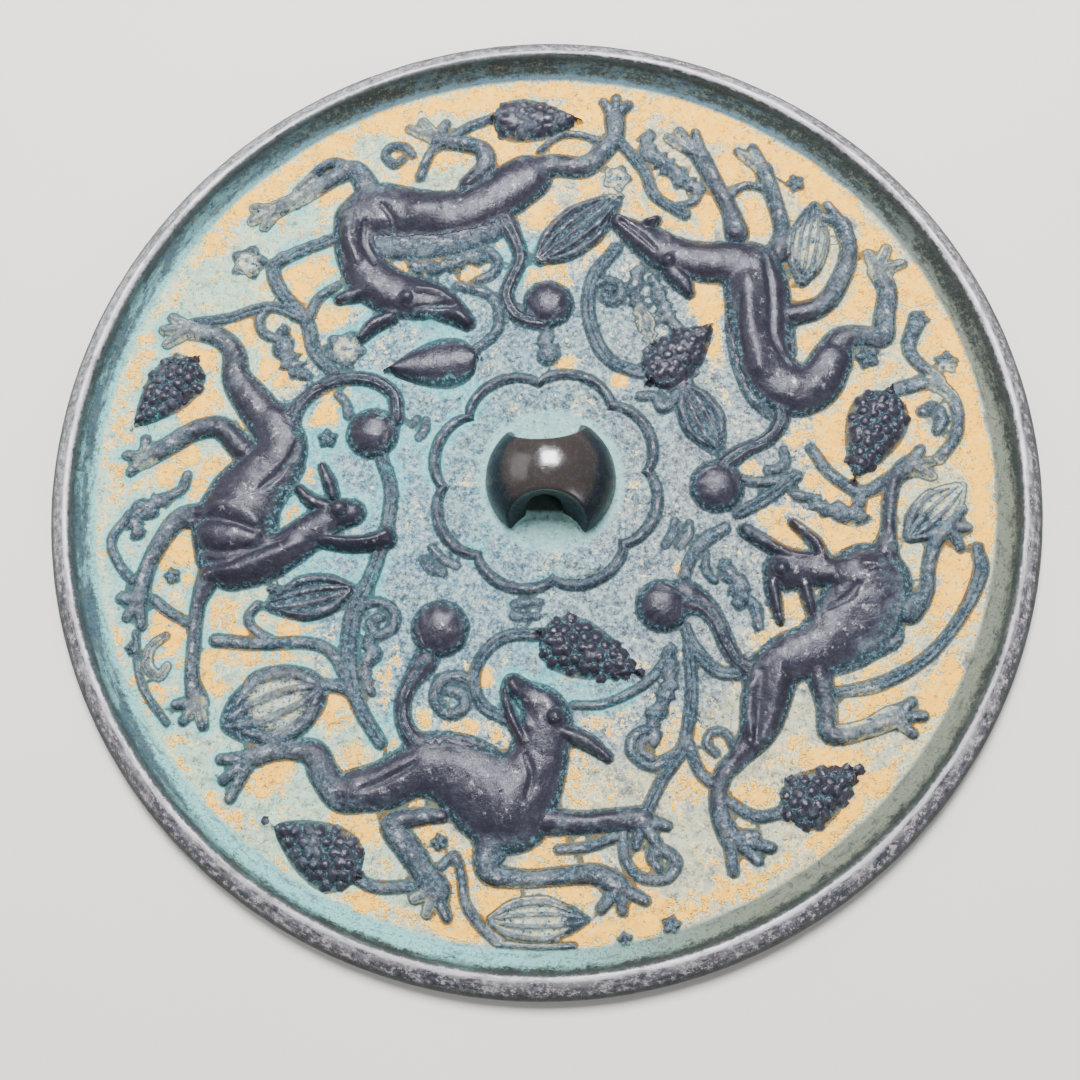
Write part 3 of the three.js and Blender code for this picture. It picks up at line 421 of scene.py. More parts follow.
# Bright turquoise bloom: x, y, radius
GREEN_SPOTS = [
    (-46, -6, 8), (-42, 6, 9), (-45, 44, 7), (-44, 38, 6), (-33, 14, 8), (-40, -16, 6), (-32, -33, 5),
    (-44, -31, 6), (-25, -46, 5), (-42, -48, 5), (0, -36, 8), (2, -10, 9), (-10, 8, 9), (-24, 4, 8),
    (-4, 44, 6), (-20, 30, 6), (-36, 30, 6), (-70, 8, 6), (-74, -20, 7), (-78, 0, 7), (-26, 2, 5),
    (-34, -4, 6), (14, -39, 6), (-62, 8, 4), (-50, 50, 6), (-30, -18, 5), (-8, -10, 6), (8, -36, 6),
    (-17, 18, 6), (18, 56, 3), (-68, -44, 6), (-76, 28, 5),
]


# ---------------------------------------------------------------- settings

def shade(code):
    """Linear colour of a six-figure screen colour: each channel undone from its display curve."""
    channels = [int(code[i:i + 2], 16) / 255 for i in (0, 2, 4)]
    return tuple(c / 12.92 if c <= 0.04045 else ((c + 0.055) / 1.055) ** 2.4 for c in channels) + (1.0,)


def length(name, description, default):
    return bpy.props.FloatProperty(
        name=name, description=description, default=default, unit="LENGTH", precision=4)


def colour(name, description, code):
    return bpy.props.FloatVectorProperty(
        name=name, description=description, default=shade(code), subtype="COLOR", size=4, min=0, max=1)


class MirrorSizes(bpy.types.PropertyGroup):
    radius: length("Radius", "Radius of the disc", CAD_HIGH.x)
    field: length("Field height", "Height of the sunken field above the reflecting face", 3 * MM)
    crest_radius: length("Crest radius", "Radius of the rim's sharp crest", 86.2 * MM)
    crest_height: length("Crest height", "Height of the rim's crest", 6.3 * MM)
    knob_radius: length("Knob radius", "Radius of the dome knob at its foot", 11.9 * MM)
    bridge: length("Bridge half depth", "Half the depth of the bridge left over the cord hole", 4.6 * MM)
    knob_top: length("Knob top", "Height of the top of the knob", CAD_HIGH.z)
    hole_half_width: length("Cord hole half width", "Half the width of the cord hole", 3.3 * MM)
    hole_height: length("Cord hole height", "Height of the cord hole's arch", 6.3 * MM)
    body_rise: length("Body rise", "How far the beasts stand above the field", 2.7 * MM)
    vine_rise: length("Vine rise", "How far the vines stand above the field", 1.15 * MM)


class MirrorColours(bpy.types.PropertyGroup):
    metal: colour("Bronze", "Dark purple-grey metal on the high relief", "2a2632")
    slate: colour("Slate", "Blue-grey skin of the low relief", "323b46")
    # Flank is also laid as the painted contact shadow on the field at the relief's foot
    flank: colour("Flank", "Dark teal on the sides of the relief", "182a31")
    # Worn bronze, also used for the painted glints on the relief, the painted sheen on the rim's bevel and
    # the painted highlight along its crest
    wear_and_glint: colour("Worn bronze", "Silvery speckle where the metal is worn", "d0ccd2")
    # Wall is also laid as the painted shadow inside the cord hole
    wall: colour("Wall", "Green-black metal of the rim's inner wall and outer edge", "232a29")
    knob_top: colour("Knob top", "Dark brown metal on the knob's crown", "332b28")
    knob_side: colour("Knob side", "Blue-black metal on the knob's sides", "121a21")
    patina: colour("Patina", "Blue-grey corrosion of the field", "597c8c")
    pale: colour("Pale patina", "Pale green-grey grains in the corrosion", "a9bab2")
    pit: colour("Pits", "Dark grains in the corrosion", "1f2e35")
    turquoise: colour("Turquoise", "Bright copper bloom", "4bb4b8")
    earth: colour("Earth", "Dry tan earth", "ffbd38")
    cream: colour("Cream earth", "Paler, limier earth", "f0d88c")
    ochre: colour("Ochre", "Darker crumbs in the earth", "d08f4c")
    lilac: colour("Grey crust", "Neutral, slightly purple crust on the right side", "77797f")
    sage: colour("Sage", "Pale olive-grey crust of the outer field", "bbb691")
    mint: colour("Mint", "Pale green crust of the left side", "aacbac")
    olive: colour("Olive", "Olive-grey film at the foot of the rim's wall", "666c5f")


class StageSettings(bpy.types.PropertyGroup):
    floor: colour("Floor", "Pale studio floor", "d9d6d0")
    lens: bpy.props.FloatProperty(
        name="Lens", description="Focal length of the camera in millimetres", default=45)


# ---------------------------------------------------------------- helpers for surfaces

def value_noise(x, y, size, seed):
    """Smooth random field from 0 to 1: seeded values on a square lattice of the given size, eased between."""
    table = np.random.RandomState(seed).rand(128, 128)
    column, row = np.floor(x / size).astype(int), np.floor(y / size).astype(int)
    u, v = x / size - column, y / size - row
    u, v = u * u * (3 - 2 * u), v * v * (3 - 2 * v)

    def corner(i, j):
        return table[(column + i) % 128, (row + j) % 128]

    near = corner(0, 0) * (1 - u) + corner(1, 0) * u
    far = corner(0, 1) * (1 - u) + corner(1, 1) * u
    return near * (1 - v) + far * v


def ease(value, low, high):
    """Smooth step from 0 at low to 1 at high."""
    share = np.clip((value - low) / (high - low), 0, 1)
    return share * share * (3 - 2 * share)


def smooth_max(a, b, blend):
    """The larger of two heights, with a rounded fillet of the given size where they meet."""
    overlap = np.clip(blend - np.abs(a - b), 0, None)
    return np.maximum(a, b) + overlap ** 2 / (4 * blend)


def curve_through(joints, steps=6):
    """Points on a Catmull-Rom curve: each span is the cubic blend of its four nearest joints."""
    points = np.asarray(joints, float)
    padded = np.vstack([2 * points[0] - points[1], points, 2 * points[-1] - points[-2]])
    padded[[0, -1], 2] = points[[0, -1], 2]
    t = np.linspace(0, 1, steps, endpoint=False)[:, None, None]
    a, b, c, d = padded[:-3], padded[1:-2], padded[2:-1], padded[3:]
    spans = 0.5 * (2 * b + (c - a) * t + (2 * a - 5 * b + 4 * c - d) * t ** 2
                   + (3 * b - a - 3 * c + d) * t ** 3)
    return np.vstack([spans.transpose(1, 0, 2).reshape(-1, 3), points[-1]])


def place_on_line(x, y, line):
    """Where points lie against a line of discs: distance over half width, signed offset, half width, run.

    Each point takes the stretch of line with the least distance over half width.
    """
    start, step = line[:-1], np.diff(line, axis=0)
    span = np.hypot(step[:, 0], step[:, 1]) + 1e-9
    run = np.concatenate([[0], np.cumsum(span)[:-1]])
    from_x, from_y = x[:, None] - start[:, 0], y[:, None] - start[:, 1]
    share = np.clip((from_x * step[:, 0] + from_y * step[:, 1]) / span ** 2, 0, 1)
    off_x, off_y = from_x - share * step[:, 0], from_y - share * step[:, 1]
    width = start[:, 2] + share * step[:, 2]
    reach = np.hypot(off_x, off_y) / width
    best = reach.argmin(axis=1)
    rows = np.arange(len(x))
    side = np.sign(step[best, 0] * off_y[rows, best] - step[best, 1] * off_x[rows, best])
    offset = side * np.hypot(off_x[rows, best], off_y[rows, best])
    return reach[rows, best], offset, width[rows, best], run[best] + share[rows, best] * span[best]


class Relief:
    """Carving over scattered points, in mm: its height above the field, and what the patina follows.

    gap is the distance outside the nearest relief, crown is 1 along the top of a form and 0 at its foot, and
    bare is how clean the metal is. FAR is the gap where no relief is near, SKIRT how far a slope is followed.
    """

    FAR = 9.0
    SKIRT = 4.5

    def __init__(self, x, y):
        self.x, self.y = x, y
        self.height = np.zeros_like(x)
        self.gap = np.full_like(x, self.FAR)
        self.crown = np.zeros_like(x)
        self.bare = np.zeros_like(x)

    def near(self, line, margin):
        """Indices of the points that lie in a line's bounding box or within a margin of it."""
        low, high = line[:, :2].min(axis=0) - margin, line[:, :2].max(axis=0) + margin
        inside = (self.x > low[0]) & (self.x < high[0]) & (self.y > low[1]) & (self.y < high[1])
        return np.nonzero(inside)[0]

    def ridge(self, joints, rise, bare, power=2.2, groove=0.0, beads=0.0, blend=0.5, worn=1.0):
        """A hump of section (1 - reach^power)^0.67, where reach is the distance over the half width.

        It falls steeply outside. It may have a groove along its middle, or beads that swell and pinch it.
        """
        line = curve_through(joints)
        widest = line[:, 2].max()
        pick = self.near(line, widest + self.SKIRT)
        reach, offset, width, run = place_on_line(self.x[pick], self.y[pick], line)
        wave = beads * np.sin(run * 2.4 + 1.5 * np.sin(run * 0.9) + 0.8 * np.sign(offset))
        reach = reach / (1 + 0.28 * wave)
        outside = (reach - 1) * width
        inside = np.clip(1 - reach ** power, 0, 1)
        top = rise * (0.6 + 0.4 * width / widest) * (1 + 0.15 * wave)
        cleft = np.exp(-(reach / 0.36) ** 2) * (groove > 0)
        top = top - groove * rise * cleft
        height = np.where(outside < 0, top * inside ** 0.67, -1.5 * outside)
        # worn scales the crown, and with it the worn speckle and the painted glints along the top
        self.add(pick, height, outside, worn * inside * (1 - 0.8 * cleft), bare, blend)

    def add(self, pick, height, outside, inside, bare, blend=0.3):
        """Joins a form to the carving: the higher surface wins, and a form that leads sets the crown."""
        self.height[pick] = smooth_max(self.height[pick], height, blend)
        self.gap[pick] = np.minimum(self.gap[pick], outside)
        lead = height >= self.height[pick] - 0.35
        self.crown[pick] = np.where(lead & (outside < 0), inside, self.crown[pick])
        self.bare[pick] = np.where(outside < 0.1, np.maximum(self.bare[pick], bare), self.bare[pick])

    def fold(self, joints, rise):
        """A soft swelling laid on what is already there: the bell e^(-1.2 reach^2) across its line."""
        line = curve_through(joints)
        pick = self.near(line, line[:, 2].max() * 2)
        reach = place_on_line(self.x[pick], self.y[pick], line)[0]
        self.height[pick] += rise * np.exp(-1.2 * reach ** 2)

    def carve(self, joints, depth):
        """A groove, the bell e^(-0.6 reach^2), cut only into what stands over the field."""
        line = curve_through(joints)
        pick = self.near(line, line[:, 2].max() * 3)
        reach = place_on_line(self.x[pick], self.y[pick], line)[0]
        cut = depth * np.exp(-0.6 * reach ** 2) * ease(self.height[pick], 0.4, 1.2)
        self.height[pick] -= cut
        self.crown[pick] *= 1 - cut / depth * 0.5

    def boss(self, x0, y0, radius, rise, bare, strands=0, root=None):
        """A round boss; its strands are ripples that fan out from a root point beside it."""
        pick = self.near(np.array([[x0, y0, radius]]), radius + self.SKIRT)
        x, y = self.x[pick] - x0, self.y[pick] - y0
        comb = 0
        if strands:
            fan = np.arctan2(self.y[pick] - root[1], self.x[pick] - root[0])
            comb = np.cos(strands * fan + 0.8 * np.sin(3 * fan))
        size = radius * (1 + 0.01 * comb)
        reach = np.hypot(x, y) / size
        inside = np.clip(1 - reach ** 2.3, 0, 1)
        outside = (reach - 1) * size
        dome = rise * inside ** 0.6 + 0.15 * comb * ease(inside, 1.0, 0.3)
        height = np.where(outside < 0, dome, -2.2 * outside)
        self.add(pick, height, outside, inside, bare)

    def blossom(self, x0, y0, radius):
        """A small flower: a ring of five lumps round a raised eye, on a low disc."""
        pick = self.near(np.array([[x0, y0, radius]]), radius + self.SKIRT)
        x, y = self.x[pick] - x0, self.y[pick] - y0
        lobes = np.cos(5 * np.arctan2(y, x) + x0)
        reach = np.hypot(x, y) / (radius * (1 + 0.16 * lobes))
        inside = np.clip(1 - reach ** 3, 0, 1)
        ring = 0.55 * np.exp(-((reach - 0.68) / 0.2) ** 2) * (0.5 + 0.5 * lobes)
        lumps = ring + 0.45 * np.exp(-(reach / 0.3) ** 2)
        height = np.where(reach < 1, 0.65 * np.sqrt(inside) + lumps, -1.5 * (reach - 1) * radius)
        self.add(pick, height, (reach - 1) * radius, np.clip(lumps * 2, 0, 1), 0.45)

    def bunch(self, x0, y0, x1, y1, half_width, grains):
        """A pointed oval mound under a honeycomb of round grains, each a half sphere on its cell's centre."""
        pick = self.near(np.array([[x0, y0, 0], [x1, y1, 0]]), half_width + self.SKIRT)
        span = math.hypot(x1 - x0, y1 - y0)
        ux, uy = (x1 - x0) / span, (y1 - y0) / span
        along = (self.x[pick] - x0) * ux + (self.y[pick] - y0) * uy
        across = (self.y[pick] - y0) * ux - (self.x[pick] - x0) * uy

        def oval(run, side):
            share = np.clip(run / span, 0, 1)
            full = np.sin(math.pi * share ** 0.72) ** 0.6 * (1 - 0.25 * share) + 0.03
            past = np.clip(np.abs(run / span - 0.5) - 0.5, 0, 1)
            return np.abs(side) / (half_width * full) + 8 * past

        pitch = 2.15
        row_gap = 0.866 * pitch
        row = np.round(along / row_gap)
        shift = 0.5 * pitch * (row % 2)
        cell = np.round((across - shift) / pitch) * pitch + shift
        jitter = 0.26 * np.sin(row * 5.1 + cell * 3.7)
        plump = 0.53 + 0.07 * np.sin(row * 7.3 + cell * 2.9)
        aside = np.hypot(along - row * row_gap - jitter, across - cell - jitter)
        ball = np.sqrt(np.clip(1 - (aside / (plump * pitch)) ** 2, 0, 1))
        kept = (oval(row * row_gap, cell) < 1) & (grains > 0.3)
        reach = oval(along, across)
        inside = np.clip(1 - reach ** 2, 0, 1)
        away = (reach - 1) * half_width * 0.7
        mound = np.where(reach < 1, (2.3 - 0.5 * grains) * inside ** 0.6, -1.5 * away)
        grain = grains * (0.8 * ball - 0.4)
        height = np.where(kept, np.maximum(mound, 0.35) + grain, mound - 0.25 * grains)
        outside = np.where(kept & (ball > 0), -0.5 * ball, np.maximum(away, 0.02))
        outside = np.where(reach < 0.8, np.minimum(outside, -0.3), outside)
        crown = inside * (1 - grains) + np.where(kept, ball * grains, 0)
        self.add(pick, height, outside, crown, 1.15, blend=0.15)

    def leaf(self, x0, y0, x1, y1, half_width, lobes):
        """A low oval blade under raised ribs that leave the stalk together, swell apart and close again."""
        span = math.hypot(x1 - x0, y1 - y0)
        ux, uy = (x1 - x0) / span, (y1 - y0) / span

        def joint(share, aside, width):
            return x0 + ux * share * span - uy * aside, y0 + uy * share * span + ux * aside, width

        blade = ((0.05, 0.3), (0.3, 0.85), (0.6, 0.9), (0.85, 0.5), (1.0, 0.15))
        self.ridge([joint(share, 0, w * half_width) for share, w in blade], 0.7, 0.35, worn=0.2)
        for rib in range(lobes + 1):
            part = 2 * rib / lobes - 1
            side, tip = part * half_width * 0.82, 1 - 0.16 * abs(part)
            width = (0.62 + 0.2 * abs(part)) * half_width / (lobes + 1)
            stations = ((0.02, 0.15, 0.5), (0.25, 0.8, 1.05), (0.55, 1, 1.1),
                        (0.82 * tip, 0.8, 0.8), (tip, 0.45, 0.35))
            joints = [joint(share, side * spread, w * width) for share, spread, w in stations]
            self.ridge(joints, 1.25 + 0.25 * abs(part), 0.72, blend=0.12)

    def paw(self, foot, tips, bare):
        """Claws that arch from the middle of the foot down to their tips."""
        for tip in tips:
            middle = ((foot[0] + tip[0]) / 2, (foot[1] + tip[1]) / 2)
            self.ridge([(*foot[:2], 1.05), (*middle, 1.0), (*tip, 0.8)], 1.3, bare)

    def seat(self):
        """Eight-petalled outline round the knob, with two fine lines inside it and lumpy, spoked petals.

        The outline's radius swings with |sin(4 angle)|^0.6, so petals meet in sharp cusps.
        """
        x, y = self.x - SEAT_X, self.y - SEAT_Y
        pick = np.nonzero(np.hypot(x, y) < 27)[0]
        x, y = x[pick], y[pick]
        radius, angle = np.hypot(x, y), np.arctan2(y, x)
        lobe = np.abs(np.sin((angle - SEAT_TURN) * 4))
        edge = 18.3 + 2.6 * lobe ** 0.6
        waver = 0.9 * (value_noise(self.x[pick], self.y[pick], 3.0, 31) - 0.5)
        away = np.abs(radius - edge) / 0.85
        inside = np.clip(1 - away ** 2, 0, 1)
        height = np.where(away < 1, 1.2 * inside ** 0.6, -1.5 * (away - 1))
        self.add(pick, height, (away - 1) * 0.85, inside, 0.7, blend=0.3)
        for inset, width in ((1.9, 0.5), (4.2, 0.7)):
            away = (radius - edge + inset - waver * inset / 2) / width
            self.height[pick] += 0.4 * np.exp(-away ** 2) * ease(radius, 12.6, 13.4)
        petal = ease(radius, 13.4, 15) * (1 - ease(radius, edge - 2, edge - 1)) * ease(lobe, 0.08, 0.5)
        lumps = value_noise(self.x[pick], self.y[pick], 1.4, 32) - 0.5
        self.height[pick] += petal * (0.35 + lumps)
        spoke = np.exp(-(lobe / 0.12) ** 2) * ease(radius, 13.5, 15) * (1 - ease(radius, 17, 18.2))
        self.height[pick] += 0.5 * spoke


def carve_beast(relief, beast, rise):
    """One beast, from the low shelf under its belly up to the tuft of its tail and its eye."""
    relief.ridge(beast["shelf"], 1.3, 0.55)
    for joints, toes in beast["legs"]:
        relief.ridge(joints, 0.72 * rise, 0.9)
        relief.paw(joints[-1], toes, 0.75)
    for joints in beast["ears"]:
        relief.ridge(joints, 0.78 * rise, 0.85)
    relief.ridge(beast["tail"], 0.6 * rise, 0.85, groove=0.22)
    relief.ridge(beast["body"], rise, 1.0, power=2.4)
    relief.ridge(beast["head"], 0.93 * rise, 1.0, power=2.4)
    if "muzzle" in beast:
        relief.ridge(beast["muzzle"], 0.85 * rise, 1.0)
    x0, y0, radius = beast["tuft"]
    end_x, end_y = beast["tail"][-1][:2]
    away = math.hypot(x0 - end_x, y0 - end_y) + 1e-6
    root = (x0 + (end_x - x0) / away * radius, y0 + (end_y - y0) / away * radius)
    relief.boss(x0, y0, radius, 2.4, 0.95, strands=18, root=root)
    relief.boss(*beast["eye"], 3.2, 1.0)


def carve_relief(x, y, sizes):
    """All the carving of the field, low pieces first so that the beasts stand over the plants."""
    relief = Relief(x, y)
    vine_rise, body_rise = sizes.vine_rise / MM, sizes.body_rise / MM
    relief.seat()
    for joints in TICKS:
        relief.ridge(joints, 0.6, 0.3)
    for joints in TENDRILS:
        relief.ridge(joints, 0.85 * vine_rise, 0.5)
    for x0, y0, radius in BLOSSOMS:
        relief.blossom(x0, y0, radius)
    for leaf in LEAVES:
        relief.leaf(*leaf)
    for joints in CRINKLES:
        relief.ridge(joints, vine_rise, 0.5, beads=1.0)
    for joints in VINES:
        relief.ridge(joints, vine_rise, 0.55, groove=0.6)
    for bunch in GRAPES:
        relief.bunch(*bunch)
    for beast in BEASTS:
        carve_beast(relief, beast, body_rise)
    for joints in FOLDS:
        relief.fold(joints, 0.7)
    for joints in GROOVES:
        relief.carve(joints, 0.5)
    return relief


def rim_swing(angle):
    """Hand-trimmed rim: a sum of a few slow waves round the disc, in mm."""
    return sum(swing * np.cos(waves * angle - turn) for waves, swing, turn in RIM_WAVES)


def rim_height(radius, angle, sizes):
    """Height above the field of the rim's section, read along the radius, with dents and a broken nick."""
    crest, edge = sizes.crest_radius / MM, sizes.radius / MM
    top = (sizes.crest_height - sizes.field) / MM
    stations = (crest - 5.4, crest - 4.2, crest - 3, crest - 2.1, crest - 1.4, crest - 0.8, crest - 0.35,
                crest, crest + 0.35, crest + 1.4, crest + 2.4, edge - 0.6, edge - 0.12, edge)
    heights = (0, 0.12, 0.5, 1.15, 1.95, 2.75, top - 0.1,
               top, top - 0.15, top - 0.95, top - 1.75, 0.75, 0.3, -0.1)
    inner = ease(radius, crest - 9, crest - 1)
    outer = 1 - ease(radius, crest + 0.6, edge - 0.3)
    swing = rim_swing(angle) + 0.16 * (value_noise(angle * 60, np.full_like(angle, 3), 1.0, 11) - 0.5)
    height = np.interp(radius - swing * inner * outer, stations, heights)
    along, across = radius * np.cos(angle), radius * np.sin(angle)
    dents = value_noise(along, across, 2.6, 5) + 0.5 * value_noise(along, across, 0.9, 6) - 0.75
    height = height + 0.14 * dents * ease(radius, crest - 5, crest - 1)
    turn = (angle - NICK_ANGLE + math.pi) % (2 * math.pi) - math.pi
    nick = np.exp(-(turn * crest / 2.6) ** 2) * np.exp(-((radius - crest + 0.2) / 1.5) ** 2)
    return height - 0.75 * nick - np.maximum(height - top, 0)


def field_height(x, y, sizes):
    """Height of the mirror's back above the reflecting face, in mm: carving, crust, knob fillet and rim."""
    relief = carve_relief(x, y, sizes)
    radius, angle = np.hypot(x, y), np.arctan2(y, x)
    rough = sum(swing * (value_noise(x, y, size, seed) - 0.5) for swing, size, seed in CRUST_NOISES)
    lumps = ease(value_noise(x, y, 1.7, 4), 0.5, 0.9) * spot_cover(x, y, GREY_SPOTS)
    from_knob = np.hypot(x - KNOB_X, y - KNOB_Y)
    rough = rough * ease(from_knob, 12.5, 15) + 0.55 * lumps
    from_foot = np.abs(from_knob - sizes.knob_radius / MM)
    fillet = 0.5 * np.exp(-from_foot / 0.5) * ease(np.abs(x - HOLE_X), 4.5, 6)
    height = relief.height + rough * (1 - 0.55 * ease(relief.height, 0.5, 2.0)) + fillet
    rim = rim_height(radius, angle, sizes)
    within = ease(sizes.radius / MM - radius, -0.4, 1.2)
    return sizes.field / MM + smooth_max(height, rim, 0.3) * within + rim * (1 - within)


# ---------------------------------------------------------------- meshes

def disc_grid(rings, ring_radii):
    """Square grid folded onto a disc: each concentric square becomes a circle, its corners spread evenly."""
    a, b = np.meshgrid(np.arange(-rings, rings + 1), np.arange(-rings, rings + 1), indexing="ij")
    ring = np.maximum(np.abs(a), np.abs(b))
    wide = np.abs(a) >= np.abs(b)
    turn = math.pi / 4 * (np.where(wide, b, a) / np.maximum(ring, 1))
    sides = [wide & (a >= 0), wide, b >= 0]
    angle = np.select(sides, [turn, math.pi - turn, math.pi / 2 - turn], turn - math.pi / 2)
    radius = ring_radii[ring]
    return radius * np.cos(angle), radius * np.sin(angle)


def border_loop(size):
    """Indices of a square grid's outer vertices, once round, counter-clockwise seen from above."""
    index = np.arange(size * size).reshape(size, size)
    return np.concatenate([index[:-1, 0], index[-1, :-1], index[:0:-1, -1], index[0, :0:-1]])


def plate_mesh(sizes):
    """The whole cast plate: carved back as a folded grid, rounded edge as rings, and one flat face below."""
    inner_rings, rim_rings = ((284, 44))
    edge = sizes.radius / MM
    radii = np.concatenate([np.linspace(0, RIM_FOOT, inner_rings + 1),
                            np.linspace(RIM_FOOT, edge, rim_rings + 1)[1:]])
    rings = len(radii) - 1
    size = 2 * rings + 1
    x, y = disc_grid(rings, radii)
    x, y = x.ravel(), y.ravel()
    z = field_height(x, y, sizes)
    index = np.arange(size * size).reshape(size, size)
    quads = np.stack([index[:-1, :-1], index[1:, :-1], index[1:, 1:], index[:-1, 1:]], axis=-1).reshape(-1, 4)
    loop = border_loop(size)
    count = len(loop)
    angle = np.arctan2(y[loop], x[loop])
    rings_below = ((edge, 2.2), (edge, 1.5), (edge - 0.12, 0.8), (edge - 0.5, 0.25), (edge - 1.2, 0))
    vertices = [np.stack([x, y, z], axis=1)]
    faces = [quads]
    upper = loop
    for radius, height in rings_below:
        wear = 0.12 * value_noise(angle * 14, np.full_like(angle, height), 1.0, 8) if height > 0 else 0
        lower = np.arange(count) + sum(len(v) for v in vertices)
        vertices.append(np.stack([(radius - wear) * np.cos(angle), (radius - wear) * np.sin(angle),
                                  np.full(count, float(height))], axis=1))
        faces.append(np.stack([upper, lower, np.roll(lower, -1), np.roll(upper, -1)], axis=1))
        upper = lower
    return make_mesh("plate", np.vstack(vertices) * MM, np.vstack(faces), ngons=[upper[::-1]])


def make_mesh(name, vertices, quads, ngons=()):
    """Mesh from whole arrays of vertices and quads, and any larger faces."""
    mesh = bpy.data.meshes.new(name)
    counts = np.concatenate([np.full(len(quads), 4), [len(n) for n in ngons]]).astype(np.int32)
    corners = np.concatenate([quads.ravel(), *ngons]).astype(np.int32)
    mesh.vertices.add(len(vertices))
    mesh.vertices.foreach_set("co", np.asarray(vertices, np.float32).ravel())
    mesh.loops.add(len(corners))
    mesh.loops.foreach_set("vertex_index", corners)
    mesh.polygons.add(len(counts))
    mesh.polygons.foreach_set("loop_start", np.concatenate([[0], np.cumsum(counts)[:-1]]).astype(np.int32))
    mesh.update(calc_edges=True)
    return mesh


def closed_tube(profile_rings):
    """Closed surface through an array of rings, ring by point by (x, y, z), with flat ends."""
    rows, count = len(profile_rings), len(profile_rings[0])
    index = np.arange(rows * count).reshape(rows, count)
    following = np.roll(index, -1, axis=1)
    quads = np.stack([index[:-1], following[:-1], following[1:], index[1:]], axis=-1).reshape(-1, 4)
    return np.reshape(profile_rings, (-1, 3)), quads, [index[0][::-1], index[-1]]


def knob_mesh(sizes):
    """Dome of height cos(out) at distance sin(out), from its foot to its top, with faint hammer marks."""
    turn, out = np.meshgrid(np.linspace(0, 2 * math.pi, 200, endpoint=False),
                            np.linspace(math.pi / 2, 0.004, 80))
    across = sizes.knob_radius / MM * np.sin(out)
    x, y = KNOB_X + across * np.cos(turn), KNOB_Y + across * np.sin(turn)
    marks = 0.35 * (value_noise(x, y, 3.4, 21) - 0.5) + 0.16 * (value_noise(x, y, 1.2, 22) - 0.5)
    z = (sizes.knob_top - sizes.field) / MM * np.cos(out) + marks * np.sin(out) - 0.1
    foot = np.stack([x[0], y[0], 0 * x[0] - 1.5], axis=-1)[None]
    vertices, quads, ends = closed_tube(np.concatenate([foot, np.stack([x, y, z], axis=-1)]))
    return make_mesh("knob", (vertices + [0, 0, sizes.field / MM]) * MM, quads, ends)


def hole_mesh(sizes):
    """The cord hole's space: an arch with a flat floor, carried straight along Y through the knob."""
    half_width, height = sizes.hole_half_width / MM, sizes.hole_height / MM
    turn, y = np.meshgrid(np.linspace(math.pi, 0, 28), np.linspace(-13, 13, 27))
    arch = np.stack([half_width * np.cos(turn), y, 0.1 + height * np.sin(turn) ** 0.8], axis=-1)
    vertices, quads, ends = closed_tube(arch)
    return make_mesh("hole", (vertices + [HOLE_X, KNOB_Y, sizes.field / MM]) * MM, quads, ends)


def scoop_mesh(centre, radii):
    """An ellipsoid, taken out of the dome in front of a mouth of the cord hole."""
    turn, out = np.meshgrid(np.linspace(0, 2 * math.pi, 72, endpoint=False),
                            np.linspace(math.pi - 0.03, 0.03, 36))
    ball = np.stack([np.sin(out) * np.cos(turn), np.sin(out) * np.sin(turn), np.cos(out)], axis=-1)
    vertices, quads, ends = closed_tube(ball)
    return make_mesh("scoop", (vertices * radii + centre) * MM, quads, ends)


def add_object(name, data):
    obj = bpy.data.objects.new(name, data)
    bpy.context.scene.collection.objects.link(obj)
    return obj


def settled(obj):
    """A plain mesh of the object with its modifiers worked in."""
    depsgraph = bpy.context.evaluated_depsgraph_get()
    return bpy.data.meshes.new_from_object(obj.evaluated_get(depsgraph))


def discard(*objects):
    for obj in objects:
        mesh = obj.data
        bpy.data.objects.remove(obj)
        bpy.data.meshes.remove(mesh)


def thinned(obj, triangles):
    """The object's mesh with its flattest edges collapsed until about that many triangles are left."""
    present = sum(len(p.vertices) - 2 for p in obj.data.polygons)
    decimate = obj.modifiers.new("thin", "DECIMATE")
    decimate.ratio = min(1.0, triangles / present)
    return settled(obj)


def softened(obj, voxel):
    """The mesh remade in even voxels and smoothed, so that sharp edges are worn round."""
    remesh = obj.modifiers.new("even", "REMESH")
    remesh.mode, remesh.voxel_size = "VOXEL", voxel
    smooth = obj.modifiers.new("worn", "SMOOTH")
    smooth.factor, smooth.iterations = 0.5, 9
    return settled(obj)


def combined(base, other, operation):
    """The base's mesh joined with the other object, or less it."""
    boolean = base.modifiers.new(operation.lower(), "BOOLEAN")
    boolean.operation = operation
    boolean.solver = "MANIFOLD"
    boolean.object = other
    mesh = settled(base)
    base.modifiers.clear()
    return mesh


